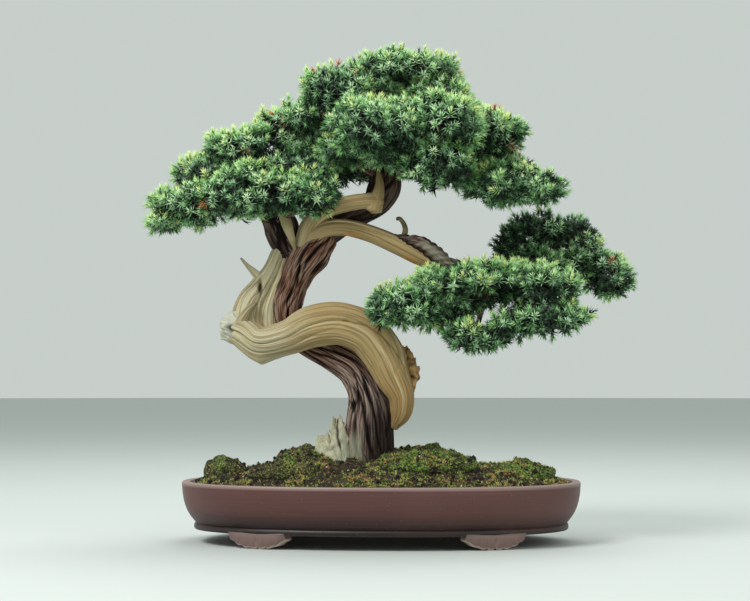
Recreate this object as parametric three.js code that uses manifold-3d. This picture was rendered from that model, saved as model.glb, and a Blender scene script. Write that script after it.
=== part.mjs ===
// A bonsai juniper in a shallow oval clay pot.
// Millimetres, +Z up, the front of the tree faces -Y.
// The pot is centred on x = 0, y = 0 and its feet stand on z = 0 until the last
// step, which moves the whole tree so that the middle of its outer box is the origin.

import * as THREE from 'three';
import { mergeVertices } from 'three/addons/utils/BufferGeometryUtils.js';
import Module from 'manifold-3d';

const wasm = await Module();
wasm.setup();

// ---------------------------------------------------------------- driving dimensions

const POT_LENGTH = 440;
const POT_DEPTH = 290;
const POT_HEIGHT = 67;
const POT_UNDERSIDE = 15;
const POT_FLOOR_TOP = 24;
const POT_SQUARENESS = 2.3;
const POT_SEGMENTS = 36;
const WALL_STRETCH = (POT_LENGTH - POT_DEPTH) / 2;
const FLAT_FLOOR_RADIUS = 100;

const FOOT_WIDTH = 70;
const FOOT_THICKNESS = 18;
const FOOT_X = 124;
const FOOT_Y = 103;
const FOOT_TURN = THREE.MathUtils.degToRad(22);

const DRAIN_X = 85;
const DRAIN_RADIUS = 13;
const SCREEN_SIZE = 44;
const SCREEN_THICKNESS = 1.2;
const SCREEN_PITCH = 8;
const SCREEN_HOLE = 5;
const CLIP_WIRE_RADIUS = 0.8;
const ANCHOR_WIRE_RADIUS = 1;

const DRAINAGE_TOP = 34;
const SOIL_EDGE = 63;
const SOIL_RISE = 24;
const TRUNK_COLLAR_RISE = 8;
const TRUNK_FOOT = new THREE.Vector2(-12, 2);

const CONTACT_GAP = 0.35;
const FOLIAGE_LUMPS = 0.07;
const UNDERSIDE_FLATNESS = 0.8;

// ---------------------------------------------------------------- solids

function toSolid(geometry) {
  const bare = geometry.clone();
  bare.deleteAttribute('normal');
  bare.deleteAttribute('uv');
  const merged = mergeVertices(bare, 1e-3);
  const triangles = [];
  const { array } = merged.getIndex();
  for (let i = 0; i < array.length; i += 3) {
    const [a, b, c] = array.slice(i, i + 3);
    if (a !== b && b !== c && c !== a) triangles.push(a, b, c);
  }
  const vertProperties = new Float32Array(merged.getAttribute('position').array);
  const triVerts = new Uint32Array(triangles);
  return new wasm.Manifold(new wasm.Mesh({ numProp: 3, vertProperties, triVerts }));
}

function toGeometry(solid) {
  const mesh = solid.getMesh();
  const geometry = new THREE.BufferGeometry();
  geometry.setAttribute('position', new THREE.BufferAttribute(new Float32Array(mesh.vertProperties), 3));
  geometry.setIndex(new THREE.BufferAttribute(new Uint32Array(mesh.triVerts), 1));
  geometry.computeVertexNormals();
  return geometry;
}

function joined(solids) {
  return solids.reduce((whole, piece) => whole.add(piece));
}

function largestPiece(solid) {
  const pieces = solid.decompose();
  return pieces.reduce((best, piece) => (piece.volume() > best.volume() ? piece : best));
}

// ---------------------------------------------------------------- shape makers

// The plan of the pot: a circle of radius r becomes a rounded oval whose wall
// keeps the same thickness at the ends as at the sides.
function ovalPoint(radius, angle) {
  const cosine = Math.cos(angle);
  const sine = Math.sin(angle);
  const power = POT_SQUARENESS;
  const square = (Math.abs(cosine) ** power + Math.abs(sine) ** power) ** (-1 / power);
  const reach = Math.max(radius, FLAT_FLOOR_RADIUS);
  const stretch = (reach + WALL_STRETCH) / reach;
  return [radius * square * cosine * stretch, radius * square * sine];
}

// A closed profile of [radius, height] turned into the oval, with an optional
// change of height over the plan.
function ovalTurned(profile, segments, heightAt = (x, y, z) => z) {
  const outline = profile.map(([radius, z]) => new THREE.Vector2(radius, z));
  const geometry = new THREE.LatheGeometry(outline, segments);
  geometry.rotateX(Math.PI / 2);
  const position = geometry.getAttribute('position');
  for (let i = 0; i < position.count; i += 1) {
    const radius = Math.hypot(position.getX(i), position.getY(i));
    const [x, y] = ovalPoint(radius, Math.atan2(position.getY(i), position.getX(i)));
    position.setXYZ(i, x, y, heightAt(x, y, position.getZ(i)));
  }
  return geometry;
}

// A stem swept through stations of [x, y, z, half breadth, half depth]. The
// breadth is measured across the stem as seen from the front.
function stem(stations, { sides = 8, steps = 3, grow = 0 } = {}) {
  const route = new THREE.CatmullRomCurve3(stations.map(([x, y, z]) => new THREE.Vector3(x, y, z)));
  const last = stations.length - 1;
  const geometry = new THREE.CylinderGeometry(1, 1, 1, sides, last * steps);
  const position = geometry.getAttribute('position');
  const vertex = new THREE.Vector3();
  for (let i = 0; i < position.count; i += 1) {
    vertex.fromBufferAttribute(position, i);
    const along = THREE.MathUtils.clamp(vertex.y + 0.5, 0, 1);
    const tangent = route.getTangent(along);
    const depth = new THREE.Vector3(0, 1, 0).addScaledVector(tangent, -tangent.y).normalize();
    const breadth = new THREE.Vector3().crossVectors(tangent, depth);
    const from = Math.min(Math.floor(along * last), last - 1);
    const share = along * last - from;
    const halfBreadth = THREE.MathUtils.lerp(stations[from][3], stations[from + 1][3], share) + grow;
    const halfDepth = THREE.MathUtils.lerp(stations[from][4], stations[from + 1][4], share) + grow;
    const point = route.getPoint(along);
    point.addScaledVector(breadth, vertex.x * halfBreadth);
    point.addScaledVector(depth, vertex.z * halfDepth);
    if (along === 0) point.addScaledVector(tangent, -grow);
    if (along === 1) point.addScaledVector(tangent, grow);
    position.setXYZ(i, point.x, point.y, point.z);
  }
  return toSolid(geometry);
}

function stems(routes, options = {}) {
  return (grow) => joined(routes.map((stations) => stem(stations, { ...options, grow })));
}

function swell(direction, seed) {
  const along = Math.sin(5 * direction.x + seed);
  const across = Math.sin(6 * direction.y + 2.1 * seed);
  const upward = Math.sin(4 * direction.z - 1.3 * seed);
  const slanted = Math.sin(8 * (direction.x - direction.y) + 0.7 * seed);
  return along + across + upward + 0.6 * slanted;
}

// A rounded, lumpy mass with a flatter underside: foliage or moss.
function mass(at, size, { seed = 0, lumps = FOLIAGE_LUMPS } = {}) {
  return (grow) => {
    const geometry = new THREE.SphereGeometry(1, 10, 7);
    geometry.rotateX(Math.PI / 2);
    const position = geometry.getAttribute('position');
    const direction = new THREE.Vector3();
    for (let i = 0; i < position.count; i += 1) {
      direction.fromBufferAttribute(position, i);
      const fullness = 1 + lumps * swell(direction, seed);
      const height = direction.z < 0 ? size[2] * UNDERSIDE_FLATNESS : size[2];
      const x = at[0] + direction.x * (size[0] * fullness + grow);
      const y = at[1] + direction.y * (size[1] * fullness + grow);
      const z = at[2] + direction.z * (height * fullness + grow);
      position.setXYZ(i, x, y, z);
    }
    return toSolid(geometry);
  };
}

// ---------------------------------------------------------------- pot

function cloudFootOutline() {
  const half = FOOT_WIDTH / 2;
  const outline = new THREE.Shape();
  outline.moveTo(-half + 5, POT_UNDERSIDE + 3);
  outline.quadraticCurveTo(-half - 1, 13, -half + 1, 8);
  outline.quadraticCurveTo(-half + 4, 2.5, -half + 13, 3.5);
  outline.quadraticCurveTo(-half + 15, 0, -half + 20, 0);
  outline.lineTo(half - 20, 0);
  outline.quadraticCurveTo(half - 15, 0, half - 13, 3.5);
  outline.quadraticCurveTo(half - 4, 2.5, half - 1, 8);
  outline.quadraticCurveTo(half + 1, 13, half - 5, POT_UNDERSIDE + 3);
  return outline;
}

function foot(sideX, sideY) {
  const geometry = new THREE.ExtrudeGeometry(cloudFootOutline(), {
    depth: FOOT_THICKNESS,
    bevelEnabled: false,
    curveSegments: 4,
  });
  geometry.translate(0, 0, -FOOT_THICKNESS / 2);
  geometry.rotateX(Math.PI / 2);
  geometry.rotateZ(-sideX * sideY * FOOT_TURN);
  geometry.translate(sideX * FOOT_X, sideY * FOOT_Y, 0);
  return toSolid(geometry);
}

function drainHole(side) {
  const geometry = new THREE.CylinderGeometry(DRAIN_RADIUS, DRAIN_RADIUS, 40, 24);
  geometry.rotateX(Math.PI / 2);
  geometry.translate(side * DRAIN_X, 0, POT_UNDERSIDE);
  return toSolid(geometry);
}

function potSolid() {
  const rim = POT_DEPTH / 2;
  const profile = [
    [0, POT_UNDERSIDE],
    [rim - 15, POT_UNDERSIDE],
    [rim - 13.5, 16.5],
    [rim - 13.5, 20.5],
    [rim - 15, 22],
    [rim - 6, 35],
    [rim - 1, 50],
    [rim, 63],
    [rim - 2, POT_HEIGHT],
    [rim - 9, POT_HEIGHT],
    [rim - 10.5, 58],
    [rim - 13, 40],
    [rim - 20, 28],
    [rim - 26, POT_FLOOR_TOP],
    [0, POT_FLOOR_TOP],
  ];
  const shell = toSolid(ovalTurned(profile, POT_SEGMENTS));
  const feet = [[-1, -1], [1, -1], [-1, 1], [1, 1]].map(([sideX, sideY]) => foot(sideX, sideY));
  return joined([shell, ...feet]).subtract(drainHole(-1)).subtract(drainHole(1));
}

// ---------------------------------------------------------------- hidden pot fittings

function screenBlock(side, x, y, length, width, thickness) {
  const geometry = new THREE.BoxGeometry(length, width, thickness);
  geometry.translate(side * DRAIN_X + x, y, POT_FLOOR_TOP + CONTACT_GAP + SCREEN_THICKNESS / 2);
  return toSolid(geometry);
}

function screenRoom(side, grow) {
  const size = SCREEN_SIZE + 2 * grow;
  return screenBlock(side, 0, 0, size, size, SCREEN_THICKNESS + 2 * grow);
}

function screenSolid(side) {
  let plate = screenRoom(side, 0);
  for (let row = -1; row <= 1; row += 1) {
    for (let column = -1; column <= 1; column += 1) {
      const hole = [column * SCREEN_PITCH, row * SCREEN_PITCH, SCREEN_HOLE, SCREEN_HOLE];
      plate = plate.subtract(screenBlock(side, ...hole, 2 * SCREEN_THICKNESS));
    }
  }
  return plate;
}

// A staple of wire over the screen, with its legs down the hole and turned out.
function clipRoute(side) {
  const low = POT_UNDERSIDE - 1.8;
  const high = POT_FLOOR_TOP + 3;
  const half = [[24, low], [14, low], [SCREEN_PITCH, 17], [SCREEN_PITCH, 24.5], [5, high]];
  const mirrored = half.map(([reach, z]) => [-reach, z]).reverse();
  return [...half, ...mirrored].map(([reach, z]) => [
    side * DRAIN_X + reach, 0, z, CLIP_WIRE_RADIUS, CLIP_WIRE_RADIUS,
  ]);
}

// One wire runs under the pot from hole to hole and ties down the roots.
function anchorRoute() {
  const low = POT_UNDERSIDE - 2.4;
  const y = -SCREEN_PITCH;
  const route = [
    [-36, -36, 83],
    [-56, -24, 81],
    [-78, -12, 62],
    [-DRAIN_X, y, 40],
    [-DRAIN_X, y, 24],
    [-DRAIN_X, y, 16],
    [-DRAIN_X + 6, y, low],
    [-40, y, low],
    [40, y, low],
    [DRAIN_X - 6, y, low],
    [DRAIN_X, y, 16],
    [DRAIN_X, y, 24],
    [DRAIN_X, y, 40],
    [66, -14, 64],
    [38, -26, 82],
    [12, -37, 84],
    [-12, -40, 84],
  ];
  return route.map((point) => [...point, ANCHOR_WIRE_RADIUS, ANCHOR_WIRE_RADIUS]);
}

// ---------------------------------------------------------------- soil and moss

function soilHeight(x, y) {
  const halfLength = POT_LENGTH / 2 - 11;
  const halfDepth = POT_DEPTH / 2 - 11;
  const power = POT_SQUARENESS;
  const edge = Math.min(1, (Math.abs(x) / halfLength) ** power + (Math.abs(y) / halfDepth) ** power);
  const toTrunk = Math.hypot(x - TRUNK_FOOT.x, y - TRUNK_FOOT.y);
  const collar = TRUNK_COLLAR_RISE * Math.exp(-((toTrunk / 50) ** 2));
  const lumps = 1.6 * (Math.sin(x / 17) + Math.sin(y / 13 + 1) + Math.sin((x + y) / 23));
  return SOIL_EDGE + (SOIL_RISE + lumps) * (1 - edge) ** 0.8 + collar;
}

function drainageSolid(grow) {
  const rim = POT_DEPTH / 2;
  const base = POT_FLOOR_TOP + CONTACT_GAP - grow;
  const profile = [
    [0, base],
    [rim - 27, base],
    [rim - 20 + grow, 28.4],
    [rim - 17 + grow, DRAINAGE_TOP + grow],
    [0, DRAINAGE_TOP + grow],
  ];
  return toSolid(ovalTurned(profile, POT_SEGMENTS));
}

function soilSolid(grow) {
  const rim = POT_DEPTH / 2;
  const wall = [
    [0, DRAINAGE_TOP + CONTACT_GAP],
    [rim - 17, DRAINAGE_TOP + CONTACT_GAP],
    [rim - 13.8, 41],
    [rim - 11.2, 58],
    [rim - 10.9, SOIL_EDGE],
  ];
  const top = [];
  for (let ring = 5; ring >= 0; ring -= 1) top.push([(rim - 12) * (ring / 5), POT_HEIGHT + 1]);
  const surface = (x, y, z) => (z > POT_HEIGHT ? soilHeight(x, y) + grow : z);
  return toSolid(ovalTurned([...wall, ...top], POT_SEGMENTS, surface));
}

// ---------------------------------------------------------------- wood

const LIVE_VEIN = [
  [-12, 2, 72, 31, 27],
  [-13, 2, 98, 29, 26],
  [-13, 0, 128, 27, 24],
  [-13, -2, 152, 24, 22],
  [-18, -3, 171, 21, 20],
  [-31, -2, 190, 19, 19],
  [-55, 3, 205, 17, 19],
  [-82, 12, 219, 16, 20],
  [-104, 18, 236, 17, 20],
  [-108, 16, 262, 20, 20],
  [-101, 12, 284, 19, 19],
  [-92, 9, 304, 21, 20],
  [-80, 7, 322, 25, 22],
  [-68, 6, 337, 20, 19],
];

const DEADWOOD_BAND = [
  [14, -6, 127, 4, 5],
  [23, -12, 141, 12, 9],
  [24, -18, 160, 14, 12],
  [20, -22, 182, 17, 14],
  [9, -25, 206, 20, 15],
  [-12, -27, 228, 22, 16],
  [-42, -27, 240, 24, 17],
  [-74, -24, 237, 24, 18],
  [-103, -17, 225, 20, 19],
  [-134, -8, 220, 18, 20],
  [-158, 0, 228, 15, 16],
  [-174, 3, 238, 9, 10],
];

const DEADWOOD_FLANK = [
  [-136, 4, 220, 13, 17],
  [-149, 8, 244, 19, 18],
  [-147, 10, 264, 17, 16],
  [-136, 10, 282, 13, 14],
  [-124, 9, 300, 10, 12],
  [-115, 7, 320, 9, 11],
  [-106, 5, 338, 8, 10],
];

const BROKEN_CHIP = [
  [24, -14, 210, 4, 5],
  [34, -13, 196, 8, 6],
  [37, -13, 182, 6, 5],
  [31, -15, 168, 4, 5],
];

const LEFT_BRANCH = [
  [
    [-96, 6, 316, 13, 13], [-108, 5, 334, 18, 15], [-113, 3, 351, 20, 15], [-128, 0, 368, 13, 12],
    [-150, -4, 380, 9, 9], [-178, -8, 378, 7, 7], [-206, -12, 371, 4, 4],
  ],
  [[-124, 0, 364, 9, 9], [-134, -26, 375, 6, 6], [-141, -50, 380, 4, 4]],
  [[-116, 0, 356, 9, 8], [-92, -32, 368, 6, 6], [-72, -54, 376, 4, 4]],
  [[-126, 0, 366, 9, 8], [-142, 0, 396, 6, 6], [-150, 0, 424, 4, 4]],
  [[-126, 2, 366, 9, 8], [-146, 28, 380, 6, 6], [-164, 52, 393, 4, 4]],
];

const UPPER_LIMB = [[
  [-86, -4, 334, 10, 9], [-79, -8, 353, 10, 9], [-60, -13, 366, 9.5, 9], [-36, -17, 373, 9, 9],
  [-14, -19, 376, 9, 8], [1, -18, 376, 8, 7],
]];

const APEX_TRUNK = [
  [
    [-64, 10, 342, 15, 13], [-38, 14, 357, 14, 13], [-12, 14, 371, 15, 13], [2, 11, 390, 19, 14],
    [6, 8, 410, 17, 13], [10, 4, 436, 12, 11], [16, 0, 466, 8, 8], [19, 0, 500, 5, 5],
  ],
  [[16, 0, 462, 6, 6], [42, 4, 484, 4.5, 4.5], [62, 5, 500, 3.5, 3.5]],
];

const RIGHT_LIMB = [[
  [-84, -2, 332, 11, 10], [-66, -8, 344, 10, 9], [-40, -11, 347, 10, 9], [-12, -13, 340, 10, 9],
  [20, -14, 324, 10.5, 9], [45, -13, 317, 15, 11], [62, -11, 310, 13, 10], [78, -9, 302, 8, 7],
  [96, -14, 292, 6, 6],
]];

const RIGHT_REAR_BRANCH = [
  [
    [70, -6, 310, 5, 5], [99, 8, 306, 4.5, 4.5], [132, 30, 309, 4.5, 4.5], [166, 52, 316, 4.5, 4.5],
    [204, 62, 318, 4, 4], [240, 62, 304, 3.5, 3.5],
  ],
  [[166, 52, 316, 4, 4], [182, 64, 330, 3.5, 3.5], [190, 70, 342, 3, 3]],
  [[132, 30, 309, 4, 4], [147, 48, 318, 3.5, 3.5], [156, 58, 325, 3, 3]],
  [[226, 62, 310, 3.5, 3.5], [248, 56, 296, 3, 3], [258, 50, 288, 2.5, 2.5]],
];

const RIGHT_FRONT_BRANCH = [
  [[90, -12, 295, 6, 6], [122, -30, 282, 5, 5], [160, -42, 274, 4, 4], [182, -44, 272, 3, 3]],
  [[94, -16, 292, 5, 5], [64, -42, 272, 4.5, 4.5], [30, -64, 256, 3.5, 3.5]],
  [[118, -28, 283, 4.5, 4.5], [112, -56, 256, 3.5, 3.5], [105, -72, 228, 3, 3]],
  [[158, -42, 274, 4, 4], [170, -54, 252, 3.5, 3.5], [177, -61, 240, 3, 3]],
];

const CROWN_LEFT_BRANCH = [
  [[-2, 9, 408, 8, 8], [-40, 12, 428, 6.5, 6.5], [-80, 12, 448, 5, 5], [-104, 12, 459, 3.5, 3.5]],
  [[-38, 12, 427, 5.5, 5.5], [-50, 4, 462, 4.5, 4.5], [-48, 0, 490, 3.5, 3.5]],
];

const CROWN_RIGHT_BRANCH = [
  [
    [12, 8, 410, 8, 8], [52, 6, 408, 6.5, 6.5], [96, 0, 406, 5.5, 5.5], [140, -10, 401, 4.5, 4.5],
    [172, -14, 396, 3.5, 3.5],
  ],
  [[70, 4, 407, 5, 5], [104, 8, 434, 4.5, 4.5], [122, 10, 454, 3.5, 3.5]],
  [[38, 5, 409, 5, 5], [56, -30, 408, 4.5, 4.5], [66, -58, 407, 3.5, 3.5]],
];

const CROWN_FRONT_BRANCH = [
  [[9, -4, 430, 7, 7], [3, -40, 440, 6, 6], [-3, -84, 446, 4, 4]],
  [[5, -30, 438, 5, 5], [40, -54, 446, 4.5, 4.5], [68, -72, 450, 3.5, 3.5]],
];

const CROWN_REAR_BRANCH = [
  [[12, 12, 432, 7, 7], [20, 50, 442, 6, 6], [42, 98, 452, 4, 4]],
  [[17, 30, 437, 5, 5], [-20, 64, 446, 4.5, 4.5], [-50, 88, 452, 3.5, 3.5]],
  [[18, 36, 439, 5, 5], [74, 62, 424, 4.5, 4.5], [118, 80, 416, 3.5, 3.5]],
];

const SPUR_JIN = [[
  [-132, 7, 289, 7, 6], [-142, 5, 298, 4.5, 4], [-150, 3, 306, 3, 2.5], [-157, 1, 314, 1.4, 1.3],
]];

const HOOK_JIN = [[
  [23, -12, 326, 5, 4.5], [28, -12, 340, 3.8, 3.6], [28, -12, 350, 3.3, 3.1], [23, -12, 356, 2.9, 2.7],
  [18, -12, 354, 2.3, 2.1], [18, -12, 349, 1.5, 1.4],
]];

const WEDGE_JIN = [[
  [-96, -13, 326, 2.5, 3], [-101, -15, 338, 6, 4], [-107, -15, 352, 9, 5], [-112, -13, 366, 7, 4],
]];

const BASE_FLAKE = [[
  [-52, -12, 80, 10, 7], [-56, -13, 98, 12, 7], [-51, -11, 112, 8, 6], [-47, -9, 126, 6, 5],
  [-46, -8, 140, 3.5, 4],
]];

function rootRoute(sideX, sideY) {
  const length = sideX > 0 ? 1.05 : 0.95;
  const stations = [[8, 6, 78, 13], [46, 28, 68, 10], [88, 48, 52, 7], [124, 58, 43, 4]];
  return stations.map(([x, y, z, radius]) => [
    TRUNK_FOOT.x + x * sideX * length,
    TRUNK_FOOT.y + y * sideY * length,
    z,
    radius,
    radius * 0.9,
  ]);
}

// ---------------------------------------------------------------- foliage and moss masses

const FOLIAGE = {
  left_pad_tip: [[-215, -14, 370], [45, 46, 29]],
  left_pad_front: [[-142, -52, 379], [60, 46, 30]],
  left_pad_inner: [[-70, -58, 377], [33, 38, 28]],
  left_pad_top: [[-145, 2, 430], [57, 54, 31]],
  left_pad_rear: [[-160, 58, 392], [62, 44, 32]],
  apex_pad: [[18, 0, 519], [52, 58, 31]],
  crown_upper_left: [[-46, -8, 496], [48, 60, 31]],
  crown_upper_right: [[64, 5, 502], [36, 54, 30]],
  crown_left_shoulder: [[-88, 8, 462], [46, 62, 27]],
  crown_front: [[-4, -84, 447], [58, 46, 35]],
  crown_front_right: [[70, -72, 452], [44, 46, 33]],
  crown_right_shoulder: [[118, 12, 452], [47, 62, 31]],
  crown_low_middle: [[64, -60, 405], [44, 46, 24]],
  crown_low_right: [[149, -15, 389], [55, 62, 28]],
  crown_rear_left: [[-50, 88, 454], [60, 50, 34]],
  crown_rear: [[44, 104, 456], [60, 48, 38]],
  crown_rear_right: [[118, 82, 418], [58, 50, 34]],
  right_rear_top: [[190, 70, 342], [52, 46, 29]],
  right_rear_inner: [[156, 58, 324], [30, 38, 25]],
  right_rear_outer: [[232, 64, 310], [42, 44, 29]],
  right_rear_tip: [[255, 46, 287], [29, 36, 21]],
  right_front_tip: [[26, -66, 255], [47, 42, 27]],
  right_front_middle: [[99, -54, 281], [54, 50, 30]],
  right_front_outer: [[176, -42, 276], [47, 52, 29]],
  right_front_low: [[104, -74, 222], [38, 34, 18]],
  right_front_low_outer: [[176, -62, 240], [51, 42, 21]],
};

const MOSS = {
  moss_left: [[-172, -4, 70], [24, 32, 21]],
  moss_middle_left: [[-76, 12, 85], [46, 42, 15]],
  moss_front_left: [[-92, -70, 76], [48, 30, 10]],
  moss_front_right: [[48, -48, 84], [60, 44, 13]],
  moss_rear_right: [[44, 44, 86], [42, 36, 15]],
  moss_right: [[150, -6, 73], [42, 50, 14]],
};

// ---------------------------------------------------------------- materials

const FINISH = {
  clay: [0x6e4b46, 0.62, 0],
  screen: [0x22262a, 0.7, 0],
  wire: [0xa8a29a, 0.45, 0.9],
  pumice: [0xb9a988, 0.95, 0],
  soil: [0x3c2c22, 0.95, 0],
  bark: [0x5a413c, 0.85, 0],
  deadwood: [0xcdbf92, 0.75, 0],
  root: [0x5c4332, 0.9, 0],
  foliage: [0x3f6b47, 0.6, 0],
  moss: [0x5f7a2e, 0.95, 0],
};

function finishOf(kind) {
  const [color, roughness, metalness] = FINISH[kind];
  return new THREE.MeshStandardMaterial({ color, roughness, metalness });
}

// ---------------------------------------------------------------- assembly

const tree = new THREE.Group();
const rooms = [];

// A piece gives way to every piece placed before it: it is cut by their shapes
// grown by the contact gap. shapeAt(grow) returns a piece's solid grown by that much.
function place(name, finish, shapeAt, roomAt = shapeAt) {
  let solid = shapeAt(0);
  for (const room of rooms) solid = solid.subtract(room);
  const mesh = new THREE.Mesh(toGeometry(largestPiece(solid)), finishOf(finish));
  mesh.name = name;
  tree.add(mesh);
  if (roomAt) rooms.push(roomAt(CONTACT_GAP));
}

place('pot', 'clay', potSolid, null);

const TRUNK = [LIVE_VEIN, DEADWOOD_BAND, DEADWOOD_FLANK, BROKEN_CHIP];
place('trunk', 'bark', stems(TRUNK, { sides: 9, steps: 2 }));
for (const [depthName, sideY] of [['front', -1], ['rear', 1]]) {
  for (const [sideName, sideX] of [['left', -1], ['right', 1]]) {
    place(`root_${depthName}_${sideName}`, 'root', stems([rootRoute(sideX, sideY)], { sides: 6, steps: 1 }));
  }
}

const LIMBS = {
  upper_limb: ['deadwood', UPPER_LIMB],
  right_limb: ['deadwood', RIGHT_LIMB],
  apex_trunk: ['bark', APEX_TRUNK],
  hook_jin: ['deadwood', HOOK_JIN],
};
for (const [name, [finish, routes]] of Object.entries(LIMBS)) {
  place(name, finish, stems(routes, { sides: 7, steps: 2 }));
}

const SLIM_STEMS = {
  left_branch: ['bark', LEFT_BRANCH],
  right_rear_branch: ['bark', RIGHT_REAR_BRANCH],
  right_front_branch: ['bark', RIGHT_FRONT_BRANCH],
  crown_left_branch: ['bark', CROWN_LEFT_BRANCH],
  crown_right_branch: ['bark', CROWN_RIGHT_BRANCH],
  crown_front_branch: ['bark', CROWN_FRONT_BRANCH],
  crown_rear_branch: ['bark', CROWN_REAR_BRANCH],
  spur_jin: ['deadwood', SPUR_JIN],
  wedge_jin: ['deadwood', WEDGE_JIN],
  base_flake: ['deadwood', BASE_FLAKE],
};
for (const [name, [finish, routes]] of Object.entries(SLIM_STEMS)) {
  place(name, finish, stems(routes, { sides: 6, steps: 1 }));
}

place('anchor_wire', 'wire', stems([anchorRoute()], { sides: 5, steps: 2 }));
for (const [sideName, side] of [['left', -1], ['right', 1]]) {
  place(`screen_clip_${sideName}`, 'wire', stems([clipRoute(side)], { sides: 5, steps: 2 }));
  place(`drain_screen_${sideName}`, 'screen', () => screenSolid(side), (grow) => screenRoom(side, grow));
}
place('drainage_layer', 'pumice', drainageSolid, null);
place('soil', 'soil', soilSolid);

Object.entries(MOSS).forEach(([name, [at, size]], index) => {
  place(name, 'moss', mass(at, size, { seed: 11 + index, lumps: 0.05 }));
});
Object.entries(FOLIAGE).forEach(([name, [at, size]], index) => {
  place(name, 'foliage', mass(at, size, { seed: 1.7 * index }));
});

const outer = new THREE.Box3().setFromObject(tree);
const middle = outer.getCenter(new THREE.Vector3());
tree.position.set(-middle.x, -middle.y, -outer.min.z);

export default tree;
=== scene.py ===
"""A bonsai juniper in a shallow oval clay pot, dressed round its CAD frame."""
from math import cos, pi, radians, sin, tan

import bpy
import numpy as np
from bpy.props import FloatProperty, FloatVectorProperty, IntProperty, PointerProperty
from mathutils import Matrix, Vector
from mathutils.bvhtree import BVHTree


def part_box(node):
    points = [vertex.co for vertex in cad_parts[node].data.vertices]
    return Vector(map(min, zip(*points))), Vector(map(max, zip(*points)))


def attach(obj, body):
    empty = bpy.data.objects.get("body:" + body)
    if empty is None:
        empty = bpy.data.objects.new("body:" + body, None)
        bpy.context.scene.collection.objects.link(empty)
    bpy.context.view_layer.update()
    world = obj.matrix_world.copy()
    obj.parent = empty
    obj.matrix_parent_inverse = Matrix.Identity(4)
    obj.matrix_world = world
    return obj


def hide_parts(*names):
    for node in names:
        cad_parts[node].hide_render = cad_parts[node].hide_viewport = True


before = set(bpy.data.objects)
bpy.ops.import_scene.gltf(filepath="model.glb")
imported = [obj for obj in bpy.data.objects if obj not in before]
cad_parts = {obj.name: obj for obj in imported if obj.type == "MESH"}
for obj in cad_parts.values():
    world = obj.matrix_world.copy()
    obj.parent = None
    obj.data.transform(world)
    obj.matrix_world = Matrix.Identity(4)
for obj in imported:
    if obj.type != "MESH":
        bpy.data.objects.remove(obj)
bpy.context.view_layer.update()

bl_info = {
    "name": "Bonsai juniper in a pot",
    "version": (1, 0, 0),
    "blender": (4, 5, 0),
    "location": "3D View > Sidebar > Bonsai",
    "description": "Makes the pot, soil, moss, wood and foliage of a bonsai juniper",
    "category": "Add Mesh",
}

# ------------------------------------------------------------------ sizes and places

MM = 0.001
UP = np.array([0.0, 0.0, 1.0])
DEEP = np.array([0.0, 1.0, 0.0])
POT_LOW, POT_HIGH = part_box("pot")
POT_MIDDLE = np.array([(POT_LOW.x + POT_HIGH.x) / 2, (POT_LOW.y + POT_HIGH.y) / 2, 0.0])

# In millimetres, or shares, from here on.
POT_SQUARENESS = 2.3  # 2 would be a plain ellipse
POT_FLAT_FLOOR = 100.0  # inside this radius the oval only stretches
SOIL_HALF = (209.0, 134.0)
STREWN_HALF = (206.0, 131.0)  # crumbs and tufts keep this far inside the wall
TRUNK_FOOT = (-12.0, 2.0)
BARE_FOOT = 25.0  # no crumbs or tufts closer to the trunk's foot than this


def tint(red, green, blue):
    """A colour given as 0 to 255 on a screen, as the linear colour Blender wants."""
    shares = [value / 255 for value in (red, green, blue)]
    linear = [s / 12.92 if s <= 0.04045 else ((s + 0.055) / 1.055) ** 2.4 for s in shares]
    return (*linear, 1.0)


def at_pot(points):
    """Points in millimetres from the middle of the pot's footprint, as metres in the frame."""
    return np.asarray(points, float) * MM + POT_MIDDLE


def length_setting(name, text, default):
    return FloatProperty(
        name=name, description=text, default=default, min=0, unit="LENGTH", precision=4
    )


def colour_setting(name, text, *screen):
    return FloatVectorProperty(
        name=name, description=text, default=tint(*screen), size=4, min=0, max=1, subtype="COLOR"
    )


class PotSettings(bpy.types.PropertyGroup):
    length: length_setting("Length", "Outer length of the pot", POT_HIGH.x - POT_LOW.x)
    depth: length_setting("Depth", "Outer depth of the pot", POT_HIGH.y - POT_LOW.y)
    height: length_setting("Height", "Height of the pot with its feet", POT_HIGH.z)
    underside: length_setting("Underside", "Height of the underside above the ground", 0.015)
    foot_width: length_setting("Foot width", "Width of one cloud-shaped foot", 0.070)
    foot_thickness: length_setting("Foot thickness", "Thickness of one foot", 0.018)
    clay: colour_setting("Clay", "Colour of the fired clay", 84, 49, 45)
    # Painted shade: a near-black clay colour laid over the foot ring and the low wall.
    clay_painted_shade: colour_setting("Shaded clay", "Colour of the clay low on the wall", 14, 7, 6)
    clay_worn: colour_setting("Worn clay", "Colour of rubbed edges", 206, 184, 176)


class GroundSettings(bpy.types.PropertyGroup):
    edge: length_setting("Soil edge", "Height of the soil at the rim", 0.063)
    rise: length_setting("Soil rise", "How far the mound stands above its edge", 0.024)
    tufts: IntProperty(name="Moss tufts", description="Number of moss tufts", default=9600, min=0)
    crumbs: IntProperty(name="Crumbs", description="Number of soil crumbs", default=4200, min=0)
    soil: colour_setting("Soil", "Colour of the damp soil", 52, 40, 32)
    moss: colour_setting("Moss", "Colour of the living moss", 92, 122, 44)
    dry_moss: colour_setting("Dry moss", "Colour of the dried moss", 64, 58, 32)


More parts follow.
